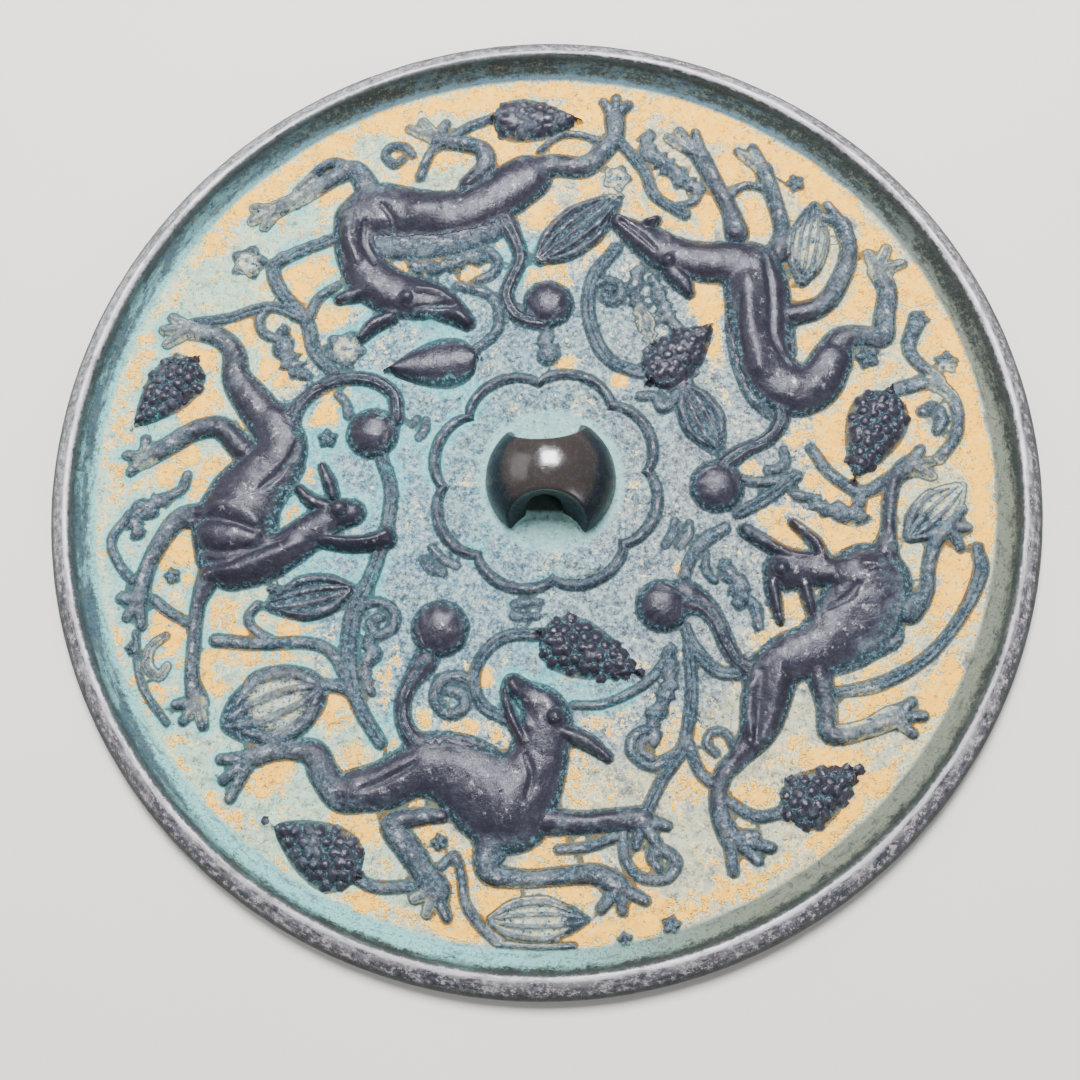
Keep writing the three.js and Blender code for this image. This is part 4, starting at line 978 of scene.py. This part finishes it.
def weather(mesh, sizes):
    """Stores on each vertex what the patina follows, from the same carving and a few broad spots.

    gap, crown and bare are the relief's own, with the knob as one clean high form. earth, grey, green and
    dust say how much of each film the place holds. On the lower edge and the reflecting face all are neutral.
    """
    place = np.empty(len(mesh.vertices) * 3, np.float32)
    mesh.vertices.foreach_get("co", place)
    x, y, z = place.reshape(-1, 3).T.astype(float) / MM
    relief = carve_relief(x, y, sizes)
    radius, from_knob = np.hypot(x, y), np.hypot(x - KNOB_X, y - KNOB_Y)
    on_knob = (from_knob < sizes.knob_radius / MM + 0.3) & (z > sizes.field / MM + 0.75)
    values = {
        "gap": np.where(on_knob, -2, relief.gap),
        "crown": np.where(on_knob, 0.9, relief.crown),
        "bare": np.where(on_knob, 1.0, relief.bare - 0.3 * ease(radius, 56, 70)),
        "earth": earth_cover(x, y) * (1 - ease(radius, RIM_FOOT - 0.2, RIM_FOOT + 1.4)),
        "grey": spot_cover(x, y, GREY_SPOTS),
        "green": np.maximum(spot_cover(x, y, GREEN_SPOTS), 0.75 * ease(-x - 0.2 * y, 46, 72)),
        "dust": spot_cover(x, y, DUST_SPOTS),
    }
    upper = z > 1.9
    for name, value in values.items():
        neutral = Relief.FAR if name == "gap" else 0
        layer = mesh.attributes.new(name, "FLOAT", "POINT")
        layer.data.foreach_set("value", np.where(upper, value, neutral).astype(np.float32))


def earth_cover(x, y):
    """Earth spots, a thin cover that grows outward and a band at the foot of the rim, weaker on the left."""
    radius, left = np.hypot(x, y), ease(-x - 0.3 * y, 40, 70)
    band = 1.1 * np.exp(-((radius - 79) / 2.4) ** 2) * (1 - 0.5 * left)
    thin = 0.74 * ease(radius, 30, 56) * (1 - 0.2 * left)
    thickest = np.maximum(np.maximum(spot_cover(x, y, EARTH_SPOTS), thin), band)
    return thickest * (1 - 0.4 * ease(-x, 66, 76))


def spot_cover(x, y, spots):
    """Largest of the soft round spots at each point: 1 within half a spot's radius, 0 beyond 1.35 radii."""
    cover = np.zeros_like(x)
    for x0, y0, radius in spots:
        cover = np.maximum(cover, 1 - ease(np.hypot(x - x0, y - y0), 0.5 * radius, 1.35 * radius))
    return cover


# ---------------------------------------------------------------- materials

def between(first, second, share):
    """The colour that lies at a share of the way from the first colour to the second."""
    return tuple(a + (b - a) * share for a, b in zip(first, second))


class Nodes:
    """Short calls that add and join nodes in one tree."""

    def __init__(self, tree):
        self.tree = tree

    def new(self, kind, inputs=None, **settings):
        node = self.tree.nodes.new(kind)
        for key, value in settings.items():
            setattr(node, key, value)
        for key, value in (inputs or {}).items():
            self.feed(node.inputs[key], value)
        return node

    def feed(self, socket, value):
        if isinstance(value, bpy.types.NodeSocket):
            self.tree.links.new(value, socket)
        else:
            socket.default_value = value

    def math(self, operation, a, b=0.0, clamp=False):
        return self.new("ShaderNodeMath", {0: a, 1: b}, operation=operation, use_clamp=clamp).outputs[0]

    def times(self, first, *others):
        for other in others:
            first = self.math("MULTIPLY", first, other)
        return first

    def plus(self, a, b):
        return self.math("ADD", a, b)

    def minus(self, a, b):
        return self.math("SUBTRACT", a, b)

    def step(self, value, low, high):
        """Smooth step of a value between low and high; it falls where low is the larger."""
        return self.new("ShaderNodeMapRange", {"Value": value, "From Min": low, "From Max": high},
                        interpolation_type="SMOOTHSTEP").outputs["Result"]

    def mix(self, factor, a, b):
        """The colour a where the factor is 0, and b where it is 1."""
        node = self.new("ShaderNodeMix", data_type="RGBA")
        self.feed(node.inputs[0], factor)
        self.feed(node.inputs[6], a)
        self.feed(node.inputs[7], b)
        return node.outputs[2]

    def lay(self, base, film, cover, strength):
        """Lays a film of colour over a base: its share is the cover times the strength."""
        return self.mix(self.times(cover, strength), base, film)

    def attribute(self, name):
        return self.new("ShaderNodeAttribute", attribute_name=name).outputs["Fac"]

    def noise(self, vector, scale, detail, roughness):
        inputs = {"Vector": vector, "Scale": scale, "Detail": detail, "Roughness": roughness}
        return self.new("ShaderNodeTexNoise", inputs).outputs["Fac"]

    def swing(self, noise, size):
        """A noise turned into a value that swings about nought."""
        return self.times(self.minus(noise, 0.5), size)


def node_group(name, inputs, outputs):
    """An empty shader group with named sockets: its node calls, its inputs and outputs, and its tree."""
    tree = bpy.data.node_groups.new(name, "ShaderNodeTree")
    for label, kind, default in inputs:
        socket = tree.interface.new_socket(label, in_out="INPUT", socket_type=kind)
        if default is not None:
            socket.default_value = default
    for label, kind in outputs:
        tree.interface.new_socket(label, in_out="OUTPUT", socket_type=kind)
    nodes = Nodes(tree)
    return nodes, nodes.new("NodeGroupInput").outputs, nodes.new("NodeGroupOutput").inputs, tree


def speckle_group():
    """Two-tone grain: pale grains and dark pits scattered over a base colour."""
    nodes, given, out, tree = node_group("Speckle", [
        ("Vector", "NodeSocketVector", None), ("Scale", "NodeSocketFloat", 1500.0),
        ("Base", "NodeSocketColor", None), ("Light", "NodeSocketColor", None),
        ("Dark", "NodeSocketColor", None), ("Amount", "NodeSocketFloat", 0.5),
    ], [("Color", "NodeSocketColor")])
    grain = nodes.noise(given["Vector"], given["Scale"], 3.0, 0.85)
    lit = nodes.lay(given["Base"], given["Light"], nodes.step(grain, 0.5, 0.62), given["Amount"])
    pitted = nodes.lay(lit, given["Dark"], nodes.step(grain, 0.47, 0.36), given["Amount"])
    nodes.feed(out["Color"], pitted)
    return tree


def ragged_group():
    """A soft cover made uneven by a broad noise for patches and a fine one for crumbs."""
    nodes, given, out, tree = node_group("Ragged film", [
        ("Vector", "NodeSocketVector", None), ("Cover", "NodeSocketFloat", 0.5),
        ("Scale", "NodeSocketFloat", 400.0), ("Raggedness", "NodeSocketFloat", 0.5),
    ], [("Film", "NodeSocketFloat")])
    broad = nodes.minus(nodes.noise(given["Vector"], given["Scale"], 4.0, 0.85), 0.5)
    crumbs = nodes.noise(given["Vector"], nodes.times(given["Scale"], 5.0), 2.0, 0.7)
    uneven = nodes.plus(broad, nodes.swing(crumbs, 0.5))
    nodes.feed(out["Film"], nodes.plus(given["Cover"], nodes.times(uneven, given["Raggedness"])))
    return tree


class BronzeNodes(Nodes):
    """The patina's shared inputs: place on the mirror, the stored attributes and the two node groups.

    x, y, z, radius and from_knob are in metres, and gap is in mm. around runs along the rim, so that a noise
    read from it is drawn out along the metal.
    """

    def __init__(self, tree, colours, sizes):
        super().__init__(tree)
        self.colours, self.sizes = colours, sizes
        self.place = self.new("ShaderNodeTexCoord").outputs["Object"]
        split = self.new("ShaderNodeSeparateXYZ", {0: self.place}).outputs
        self.x, self.y, self.z = split["X"], split["Y"], split["Z"]
        flat = self.new("ShaderNodeCombineXYZ", {"X": self.x, "Y": self.y}).outputs[0]
        self.radius = self.new("ShaderNodeVectorMath", {0: flat}, operation="LENGTH").outputs["Value"]
        angle = self.math("ARCTAN2", self.y, self.x)
        self.around = self.new("ShaderNodeCombineXYZ", {
            "X": self.times(angle, 0.03), "Y": self.times(self.radius, 1.6)}).outputs[0]
        middle = (KNOB_X * MM, KNOB_Y * MM, 0)
        self.from_knob = self.new("ShaderNodeVectorMath", {0: flat, 1: middle},
                                  operation="DISTANCE").outputs["Value"]
        self.gap, self.crown, self.bare = (self.attribute(name) for name in ("gap", "crown", "bare"))
        self.coarse = self.noise(self.place, 430.0, 5.0, 0.82)
        self.speckle, self.ragged = speckle_group(), ragged_group()

    def shared(self, group, output, inputs):
        node = self.new("ShaderNodeGroup", node_tree=group)
        for key, value in {"Vector": self.place, **inputs}.items():
            self.feed(node.inputs[key], value)
        return node.outputs[output]

    def grainy(self, scale, base, light, dark, amount):
        """A base colour with pale grains and dark pits."""
        return self.shared(self.speckle, "Color", {
            "Scale": scale, "Base": base, "Light": light, "Dark": dark, "Amount": amount})

    def film(self, cover, scale, raggedness):
        """A soft cover roughened by noise, from 0 bare to 1 thick."""
        return self.shared(self.ragged, "Film", {"Cover": cover, "Scale": scale, "Raggedness": raggedness})

    def at_crest(self, low, high):
        """Smooth step across the rim, between two distances in mm outside the crest."""
        crest = self.sizes.crest_radius
        return self.step(self.radius, crest + low * MM, crest + high * MM)


def crust_colour(nodes):
    """Bare field: blue-grey in the middle, neutral to the right, olive and pale green in the outer zone."""
    colours = nodes.colours
    right = nodes.film(nodes.step(nodes.x, -0.03, 0.05), 120.0, 1.4)
    crust = nodes.lay(colours.patina, colours.lilac, right, 0.85)
    left = nodes.step(nodes.film(nodes.step(nodes.x, 0.02, -0.06), 150.0, 0.9), 0.3, 0.7)
    outer = nodes.step(nodes.film(nodes.step(nodes.radius, 0.036, 0.066), 160.0, 1.1), 0.3, 0.75)
    clouds = nodes.step(nodes.noise(nodes.place, 170.0, 4.0, 0.75), 0.5, 0.36)
    dry = nodes.lay(colours.sage, colours.lilac, clouds, 0.7)
    crust = nodes.lay(crust, nodes.mix(left, dry, colours.mint), outer, 0.9)
    contrast = nodes.minus(1.0, nodes.times(outer, 0.3))
    crust = nodes.lay(crust, colours.pale, nodes.step(nodes.coarse, 0.48, 0.62), 0.5)
    sunken = nodes.times(nodes.step(nodes.coarse, 0.46, 0.36), contrast)
    crust = nodes.lay(crust, colours.pit, sunken, 0.65)
    crust = nodes.lay(crust, colours.slate, clouds, 0.3)
    return nodes.grainy(1200.0, crust, colours.pale, colours.pit, nodes.times(contrast, 0.75))


def ground_colour(nodes, earth):
    """Field between the figures: crust, then pale, cream and tan as the earth thickens, copper bloom, and a
    painted contact shadow along the relief's foot.
    """
    colours = nodes.colours
    limy = between(colours.pale, colours.cream, 0.5)
    thin = nodes.grainy(1000.0, limy, colours.cream, colours.patina, 1.0)
    ground = nodes.mix(nodes.step(earth, 0.3, 0.44), crust_colour(nodes), thin)
    ground = nodes.mix(nodes.step(earth, 0.42, 0.54), ground, between(colours.cream, colours.earth, 0.5))
    tan = nodes.grainy(500.0, colours.earth, colours.cream, colours.ochre, 0.35)
    ground = nodes.mix(nodes.step(earth, 0.5, 0.58), ground, tan)

    leftward = nodes.plus(nodes.step(nodes.x, 0.03, -0.02), 0.4)
    halo = nodes.times(nodes.step(nodes.gap, 2.6, 0.2), 0.36, leftward)
    bloom = nodes.film(nodes.plus(nodes.times(nodes.attribute("green"), 0.55), halo), 380.0, 1.3)
    bloom = nodes.times(nodes.step(bloom, 0.5, 0.85), nodes.step(earth, 0.6, 0.48))
    copper = nodes.grainy(1500.0, colours.turquoise, colours.pale, colours.patina, 1.0)
    ground = nodes.lay(ground, copper, bloom, 0.7)
    ring = nodes.film(nodes.step(nodes.from_knob, 15.2 * MM, 12.2 * MM), 300.0, 1.2)
    pale_ring = between(colours.turquoise, colours.pale, 0.55)
    ground = nodes.lay(ground, pale_ring, nodes.step(ring, 0.35, 0.8), 0.6)

    pits = nodes.step(nodes.noise(nodes.place, 1100.0, 3.0, 0.8), 0.43, 0.3)
    ground = nodes.lay(ground, colours.pit, pits, 0.75)
    # Painted contact shadow: a thin dark teal line on the field along the foot of the relief
    painted_contact_shadow = nodes.film(nodes.step(nodes.gap, 1.1, -0.1), 500.0, 0.5)
    return nodes.lay(ground, colours.flank, nodes.step(painted_contact_shadow, 0.45, 0.8), 0.85)


def relief_colour(nodes, cleaned):
    """Figures: slate low relief with painted glints, purple metal where they stand clean and high with worn
    speckle that is partly painted highlight, dark flanks and pale dust.
    """
    colours, crown = nodes.colours, nodes.crown
    variegated = nodes.step(nodes.noise(nodes.place, 230.0, 4.0, 0.78), 0.42, 0.62)
    tone = nodes.mix(variegated, colours.slate, between(colours.slate, colours.lilac, 0.45))
    low = nodes.grainy(1400.0, tone, colours.patina, colours.pit, 0.7)
    high = nodes.grainy(1500.0, colours.metal, colours.slate, colours.flank, 0.6)
    glint_and_wear_noise = nodes.noise(nodes.place, 560.0, 4.0, 0.78)
    # Painted glints: bright silver flecks along the crowns of the low relief, standing in for the light's
    # highlights
    painted_glint = nodes.times(nodes.step(glint_and_wear_noise, 0.5, 0.66), nodes.step(crown, 0.82, 0.99))
    low = nodes.lay(low, colours.wear_and_glint, painted_glint, 0.45)
    # Silver speckle on the high relief's crowns: partly worn metal, partly painted highlight
    worn = nodes.times(nodes.step(glint_and_wear_noise, 0.56, 0.7), nodes.step(crown, 0.8, 0.98))
    high = nodes.lay(high, colours.wear_and_glint, worn, 0.4)
    face = nodes.mix(cleaned, low, high)

    flank = nodes.step(nodes.film(nodes.step(crown, 0.75, 0.05), 420.0, 0.9), 0.35, 0.8)
    face = nodes.lay(face, nodes.grainy(1200.0, colours.flank, colours.patina, colours.pit, 0.8), flank, 0.8)
    bloom = nodes.film(nodes.times(nodes.attribute("green"), 0.4), 300.0, 1.1)
    bloom = nodes.times(nodes.step(bloom, 0.4, 0.7), nodes.step(crown, 0.9, 0.3))
    face = nodes.lay(face, colours.turquoise, bloom, 0.6)
    dust = nodes.step(nodes.film(nodes.times(nodes.attribute("dust"), 0.7), 600.0, 1.0), 0.3, 0.8)
    hollow = nodes.plus(nodes.times(nodes.step(crown, 0.85, 0.3), 1.4), 0.25)
    dusty = nodes.times(dust, hollow, nodes.step(nodes.bare, 1.0, 0.9))
    return nodes.lay(face, nodes.grainy(900.0, colours.pale, colours.cream, colours.slate, 1.0), dusty, 0.5)


def wall_colour(nodes):
    """Inner wall of the rim, dark above a foot that is turquoise on the left and olive on the right, with
    painted shade darkening the foot on the north side.
    """
    colours = nodes.colours
    rightward = nodes.step(nodes.plus(nodes.x, nodes.times(nodes.y, 0.25)), -0.035, 0.02)
    foot = nodes.mix(rightward, between(colours.turquoise, colours.pale, 0.35), colours.olive)
    # Painted shade: the foot of the wall is darker on the north side, which faces away from the key light
    foot = nodes.mix(nodes.step(nodes.y, 0.03, 0.08), foot, between(colours.patina, colours.flank, 0.5))
    upper = nodes.mix(nodes.step(nodes.x, -0.03, -0.07), colours.wall,
                      between(colours.flank, colours.patina, 0.3))
    lower_right = nodes.step(nodes.minus(nodes.times(nodes.x, 0.5), nodes.y), 0.0, 0.05)
    inward = nodes.minus(nodes.radius, nodes.times(lower_right, 1.5 * MM))
    crest = nodes.sizes.crest_radius
    edge = nodes.film(nodes.step(inward, crest - 5.4 * MM, crest - 1.4 * MM), 260.0, 0.9)
    wall = nodes.mix(nodes.step(edge, 0.38, 0.68), foot, upper)
    cloudy = nodes.step(nodes.noise(nodes.around, 300.0, 4.0, 0.82), 0.47, 0.6)
    wall = nodes.lay(wall, foot, cloudy, 0.5)
    streak = nodes.step(nodes.noise(nodes.around, 520.0, 4.0, 0.82), 0.47, 0.38)
    wall = nodes.lay(wall, colours.wall, streak, 0.55)
    return nodes.grainy(1000.0, wall, between(colours.wall, colours.olive, 0.6), colours.wall, 0.6)


def rim_colour(nodes):
    """Rim: inner wall, a dark line under the worn silvery crest, which is partly painted highlight, a
    speckled bevel with a painted sheen beside the crest, and a dark outer edge.
    """
    colours = nodes.colours
    upper_left = nodes.times(nodes.step(nodes.x, 0.02, -0.06), nodes.step(nodes.y, -0.05, 0.02))
    crusted = nodes.step(nodes.film(upper_left, 200.0, 0.8), 0.35, 0.8)
    bevel = nodes.lay(between(colours.metal, colours.wear_and_glint, 0.04), colours.lilac, crusted, 0.8)
    blotch = nodes.noise(nodes.around, 280.0, 4.0, 0.8)
    bevel = nodes.lay(bevel, colours.wear_and_glint, nodes.step(blotch, 0.42, 0.62), 0.14)
    dull = nodes.times(nodes.step(blotch, 0.52, 0.44), crusted)
    bevel = nodes.lay(bevel, between(colours.flank, colours.olive, 0.5), dull, 0.7)
    bevel = nodes.grainy(700.0, bevel, between(colours.wear_and_glint, colours.metal, 0.45), colours.flank, 0.9)
    rim = nodes.mix(nodes.at_crest(-0.9, -0.3), wall_colour(nodes), bevel)

    patchy = nodes.step(nodes.noise(nodes.around, 330.0, 4.0, 0.82), 0.42, 0.56)
    # Painted sheen: silver in patches on the bevel just outside the crest, a painted reflection of the light
    painted_sheen = nodes.times(nodes.at_crest(2.4, 0.1), patchy, nodes.at_crest(-0.5, -0.1))
    rim = nodes.lay(rim, colours.wear_and_glint, painted_sheen, nodes.minus(0.38, nodes.times(crusted, 0.2)))
    under = nodes.times(nodes.at_crest(-1.7, -1.0), nodes.at_crest(-0.3, -0.6))
    rim = nodes.lay(rim, colours.wall, under, 0.8)
    # The narrow silver band along the crest: partly worn metal, partly a painted highlight
    worn = nodes.times(nodes.at_crest(-0.4, -0.05), nodes.at_crest(0.75, 0.25))
    rim = nodes.lay(rim, colours.wear_and_glint, worn, nodes.plus(nodes.times(patchy, 0.5), 0.45))
    edge = nodes.sizes.radius
    return nodes.lay(rim, colours.wall, nodes.step(nodes.radius, edge - 1.4 * MM, edge - 0.5 * MM), 0.95)


def knob_colour(nodes):
    """Knob: blue-black sides that turn brown toward the polished top."""
    colours = nodes.colours
    height = nodes.film(nodes.step(nodes.z, 8 * MM, 14 * MM), 300.0, 0.6)
    brown = nodes.mix(nodes.step(height, 0.35, 0.7), colours.knob_side, colours.knob_top)
    return nodes.grainy(1100.0, brown, colours.slate, colours.wall, 0.5)


def face_colour(nodes):
    """Reflecting face: even tarnish in broad soft patches."""
    colours = nodes.colours
    patches = nodes.step(nodes.film(0.5, 60.0, 1.6), 0.4, 0.75)
    tarnish = nodes.mix(patches, colours.slate, colours.patina)
    return nodes.grainy(900.0, tarnish, colours.pale, colours.wall, 0.7)


def earth_film(nodes):
    """Earth from its stored spots, less the bare grey spots and a strip along the foot of the relief."""
    cover = nodes.times(nodes.attribute("earth"), 0.76)
    cover = nodes.minus(cover, nodes.times(nodes.attribute("grey"), 0.36))
    cover = nodes.minus(cover, nodes.times(nodes.step(nodes.gap, 2.2, 0.1), 0.3))
    return nodes.film(nodes.plus(cover, 0.06), 190.0, 2.3)


def inside_hole(nodes):
    """1 within the cord hole, 0 a little outside it: where shadow is painted inside the hole."""
    aside = nodes.math("ABSOLUTE", nodes.minus(nodes.x, HOLE_X * MM))
    along = nodes.math("ABSOLUTE", nodes.minus(nodes.y, KNOB_Y * MM))
    level = nodes.times(nodes.step(aside, 4.2 * MM, 3.6 * MM), nodes.step(along, 6.4 * MM, 5.5 * MM))
    return nodes.times(level, nodes.step(nodes.z, 9.8 * MM, 9.0 * MM))


def bronze_material(colours, sizes):
    """Old bronze in layers: corroded field and earth, then the relief, the rim and the dark polished knob."""
    material = bpy.data.materials.new("bronze_patina")
    material.use_nodes = True
    shader = material.node_tree.nodes["Principled BSDF"]
    nodes = BronzeNodes(material.node_tree, colours, sizes)
    gap, crown = nodes.gap, nodes.crown

    earth = earth_film(nodes)
    on_relief = nodes.step(gap, 0.2, -0.15)
    on_rim = nodes.at_crest(-4.9, -4.0)
    on_knob = nodes.times(nodes.step(nodes.from_knob, 12.5 * MM, 12.1 * MM),
                          nodes.step(nodes.z, 3.7 * MM, 4.3 * MM))
    cleaned = nodes.plus(nodes.bare, nodes.swing(nodes.noise(nodes.place, 260.0, 3.0, 0.6), 0.8))
    cleaned = nodes.step(cleaned, 0.55, 0.9)
    surface = nodes.mix(on_relief, ground_colour(nodes, earth), relief_colour(nodes, cleaned))
    surface = nodes.mix(on_rim, surface, rim_colour(nodes))
    surface = nodes.mix(on_knob, surface, knob_colour(nodes))
    # Painted shadow: the inside of the cord hole is laid nearly black with the wall colour
    surface = nodes.lay(surface, colours.wall, inside_hole(nodes), 0.92)
    surface = nodes.mix(nodes.step(nodes.z, 0.9 * MM, 0.2 * MM), surface, face_colour(nodes))
    nodes.feed(shader.inputs["Base Color"], surface)

    bevel = nodes.times(on_rim, nodes.at_crest(-1.1, -0.5), 0.7)
    metal = nodes.times(on_relief, cleaned, nodes.step(crown, 0.1, 0.6))
    metal = nodes.math("MAXIMUM", nodes.math("MAXIMUM", metal, bevel), nodes.times(on_knob, 0.75))
    polish = nodes.times(on_knob, nodes.step(nodes.z, 9 * MM, 14 * MM))
    nodes.feed(shader.inputs["Metallic"], nodes.times(metal, 0.25))
    nodes.feed(shader.inputs["Specular IOR Level"], nodes.plus(nodes.times(polish, 0.68), 0.32))

    grain = nodes.noise(nodes.place, 1800.0, 3.0, 0.75)
    dull = {"Value": metal, "To Min": 0.88, "To Max": 0.34}
    rough = nodes.new("ShaderNodeMapRange", dull).outputs["Result"]
    rough = nodes.minus(rough, nodes.times(polish, 0.17))
    blurred = nodes.plus(nodes.swing(grain, 0.3), nodes.minus(nodes.coarse, 0.5))
    rough = nodes.math("ADD", rough, nodes.times(blurred, nodes.minus(0.6, polish)), clamp=True)
    nodes.feed(shader.inputs["Roughness"], rough)

    depth = nodes.plus(nodes.times(grain, 0.4), nodes.times(nodes.coarse, 1.1))
    depth = nodes.times(depth, nodes.minus(1.0, nodes.times(metal, 0.6)))
    caked = nodes.times(nodes.step(earth, 0.52, 0.62), nodes.step(gap, 0.0, 0.3))
    depth = nodes.plus(depth, nodes.times(caked, 0.9))
    depth = nodes.times(depth, nodes.minus(1.0, nodes.times(polish, 0.85)))
    bump = nodes.new("ShaderNodeBump", {"Strength": 1.0, "Distance": 0.32 * MM, "Height": depth})
    nodes.feed(shader.inputs["Normal"], bump.outputs["Normal"])
    return material


def floor_material(colour_value):
    """Pale painted floor with a faint cloudy unevenness."""
    material = bpy.data.materials.new("floor")
    material.use_nodes = True
    nodes = Nodes(material.node_tree)
    shader = material.node_tree.nodes["Principled BSDF"]
    place = nodes.new("ShaderNodeTexCoord").outputs["Object"]
    darker = tuple(channel * 0.9 for channel in colour_value[:3]) + (1.0,)
    cloudy = nodes.noise(place, 6.0, 3.0, 0.6)
    nodes.feed(shader.inputs["Base Color"], nodes.mix(cloudy, tuple(colour_value), darker))
    shader.inputs["Roughness"].default_value = 0.8
    return material


# ---------------------------------------------------------------- operators

PLATE_TRIANGLES = 154000
KNOB_VOXEL = 0.26 * MM

# Scoops in front of the cord hole's mouths, in mm: radii of the cutter, and each one's x and side along y
SCOOP_RADII = (8.4, 6.7, 12.8)
SCOOPS = ((1.5, -1), (0.5, 1))


def pierced_knob(sizes):
    """The dome with its cord hole, a scoop out of it in front of each mouth, and its edges worn round."""
    knob = add_object("knob", knob_mesh(sizes))
    aside, middle = sizes.bridge / MM + SCOOP_RADII[1], sizes.field / MM + 8.5
    cutters = [hole_mesh(sizes)]
    for x, side in SCOOPS:
        cutters.append(scoop_mesh((x, KNOB_Y + side * aside, middle), SCOOP_RADII))
    for mesh in cutters:
        cutter = add_object("cutter", mesh)
        knob.data = combined(knob, cutter, "DIFFERENCE")
        discard(cutter)
    knob.data = softened(knob, KNOB_VOXEL)
    return knob


def shade_smooth(mesh):
    """Smooth shading, flat on faces that look straight down, and split at edges sharper than 60 degrees."""
    normals = np.empty(len(mesh.polygons) * 3, np.float32)
    mesh.polygons.foreach_get("normal", normals)
    mesh.polygons.foreach_set("use_smooth", normals[2::3] > -0.98)
    mesh.set_sharp_from_angle(angle=math.radians(60))


class MIRROR_OT_body(bpy.types.Operator):
    """Cast, carve and weather the mirror"""
    bl_idname = "mirror.body"
    bl_label = "Mirror"

    def execute(self, context):
        sizes, colours = context.scene.mirror_sizes, context.scene.mirror_colours
        plate = add_object("plate", plate_mesh(sizes))
        knob = pierced_knob(sizes)
        body = add_object("mirror_body", thinned(plate, PLATE_TRIANGLES))
        body.data = combined(body, knob, "UNION")
        discard(plate, knob)
        shade_smooth(body.data)
        weather(body.data, sizes)
        body.data.materials.clear()
        body.data.materials.append(bronze_material(colours, sizes))
        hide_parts("mirror", "knob")
        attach(body, "root")
        return {"FINISHED"}


# The floor lies a hair below the reflecting face, so that the two flat faces never share one height.
FLOOR_HALF, FLOOR_LEVEL = 1.5, -0.1 * MM

# Softboxes: name, place and side in metres, power in watts
SOFTBOXES = (
    ("key", (-0.02, 0.3, 0.62), 0.28, 15.0),
    ("edge", (0.5, -0.45, 0.4), 0.3, 1.4),
    ("fill", (-0.7, 0.2, 0.5), 0.6, 2.0),
)

CAMERA_PLACE = Vector((10.7, -68.3, 239.0)) * MM
CAMERA_FORWARD, CAMERA_UP = Vector((-0.043, 0.236, -0.971)), Vector((-0.019, 0.971, 0.237))


def add_softbox(name, location, size, power):
    """A square lamp that faces the middle of the mirror."""
    lamp = add_object(name, bpy.data.lights.new(name, "AREA"))
    lamp.data.size = size
    lamp.data.energy = power
    lamp.location = location
    lamp.rotation_mode = "QUATERNION"
    lamp.rotation_quaternion = (-Vector(location)).to_track_quat("-Z", "Y")


class MIRROR_OT_stage(bpy.types.Operator):
    """Lay the pale floor, and set the soft lights and the camera"""
    bl_idname = "mirror.stage"
    bl_label = "Stage"

    def execute(self, context):
        scene, settings = context.scene, context.scene.stage_settings
        square = ((-1, -1), (1, -1), (1, 1), (-1, 1))
        corners = [(FLOOR_HALF * x, FLOOR_HALF * y, FLOOR_LEVEL) for x, y in square]
        floor = add_object("floor", make_mesh("floor", corners, np.array([[0, 1, 2, 3]])))
        floor.data.materials.append(floor_material(settings.floor))
        scene.world = scene.world or bpy.data.worlds.new("world")
        scene.world.use_nodes = True
        background = scene.world.node_tree.nodes["Background"]
        background.inputs["Color"].default_value = shade("eef1f4")
        background.inputs["Strength"].default_value = 0.38
        for softbox in SOFTBOXES:
            add_softbox(*softbox)
        camera = add_object("camera", bpy.data.cameras.new("camera"))
        camera.data.lens = settings.lens
        camera.data.sensor_width = 36
        camera.data.clip_start = 0.01
        forward = CAMERA_FORWARD.normalized()
        right = forward.cross(CAMERA_UP).normalized()
        axes = Matrix((right, right.cross(forward), -forward)).transposed()
        camera.matrix_world = Matrix.Translation(CAMERA_PLACE) @ axes.to_4x4()
        scene.camera = camera
        return {"FINISHED"}


class MIRROR_PT_panel(bpy.types.Panel):
    bl_label = "Bronze mirror"
    bl_idname = "MIRROR_PT_panel"
    bl_space_type = "VIEW_3D"
    bl_region_type = "UI"
    bl_category = "Mirror"

    def draw(self, context):
        for group in (context.scene.mirror_sizes, context.scene.mirror_colours, context.scene.stage_settings):
            for name in group.__annotations__:
                self.layout.prop(group, name)
        for operator in OPERATORS:
            self.layout.operator(operator.bl_idname)


GROUPS = {"mirror_sizes": MirrorSizes, "mirror_colours": MirrorColours, "stage_settings": StageSettings}
OPERATORS = (MIRROR_OT_body, MIRROR_OT_stage)
CLASSES = (*GROUPS.values(), *OPERATORS, MIRROR_PT_panel)


def register():
    for cls in CLASSES:
        bpy.utils.register_class(cls)
    for name, group in GROUPS.items():
        setattr(bpy.types.Scene, name, bpy.props.PointerProperty(type=group))


def unregister():
    for name in GROUPS:
        delattr(bpy.types.Scene, name)
    for cls in reversed(CLASSES):
        bpy.utils.unregister_class(cls)


def main():
    register()
    bpy.ops.mirror.stage()
    bpy.ops.mirror.body()


if __name__ == "__main__":
    main()
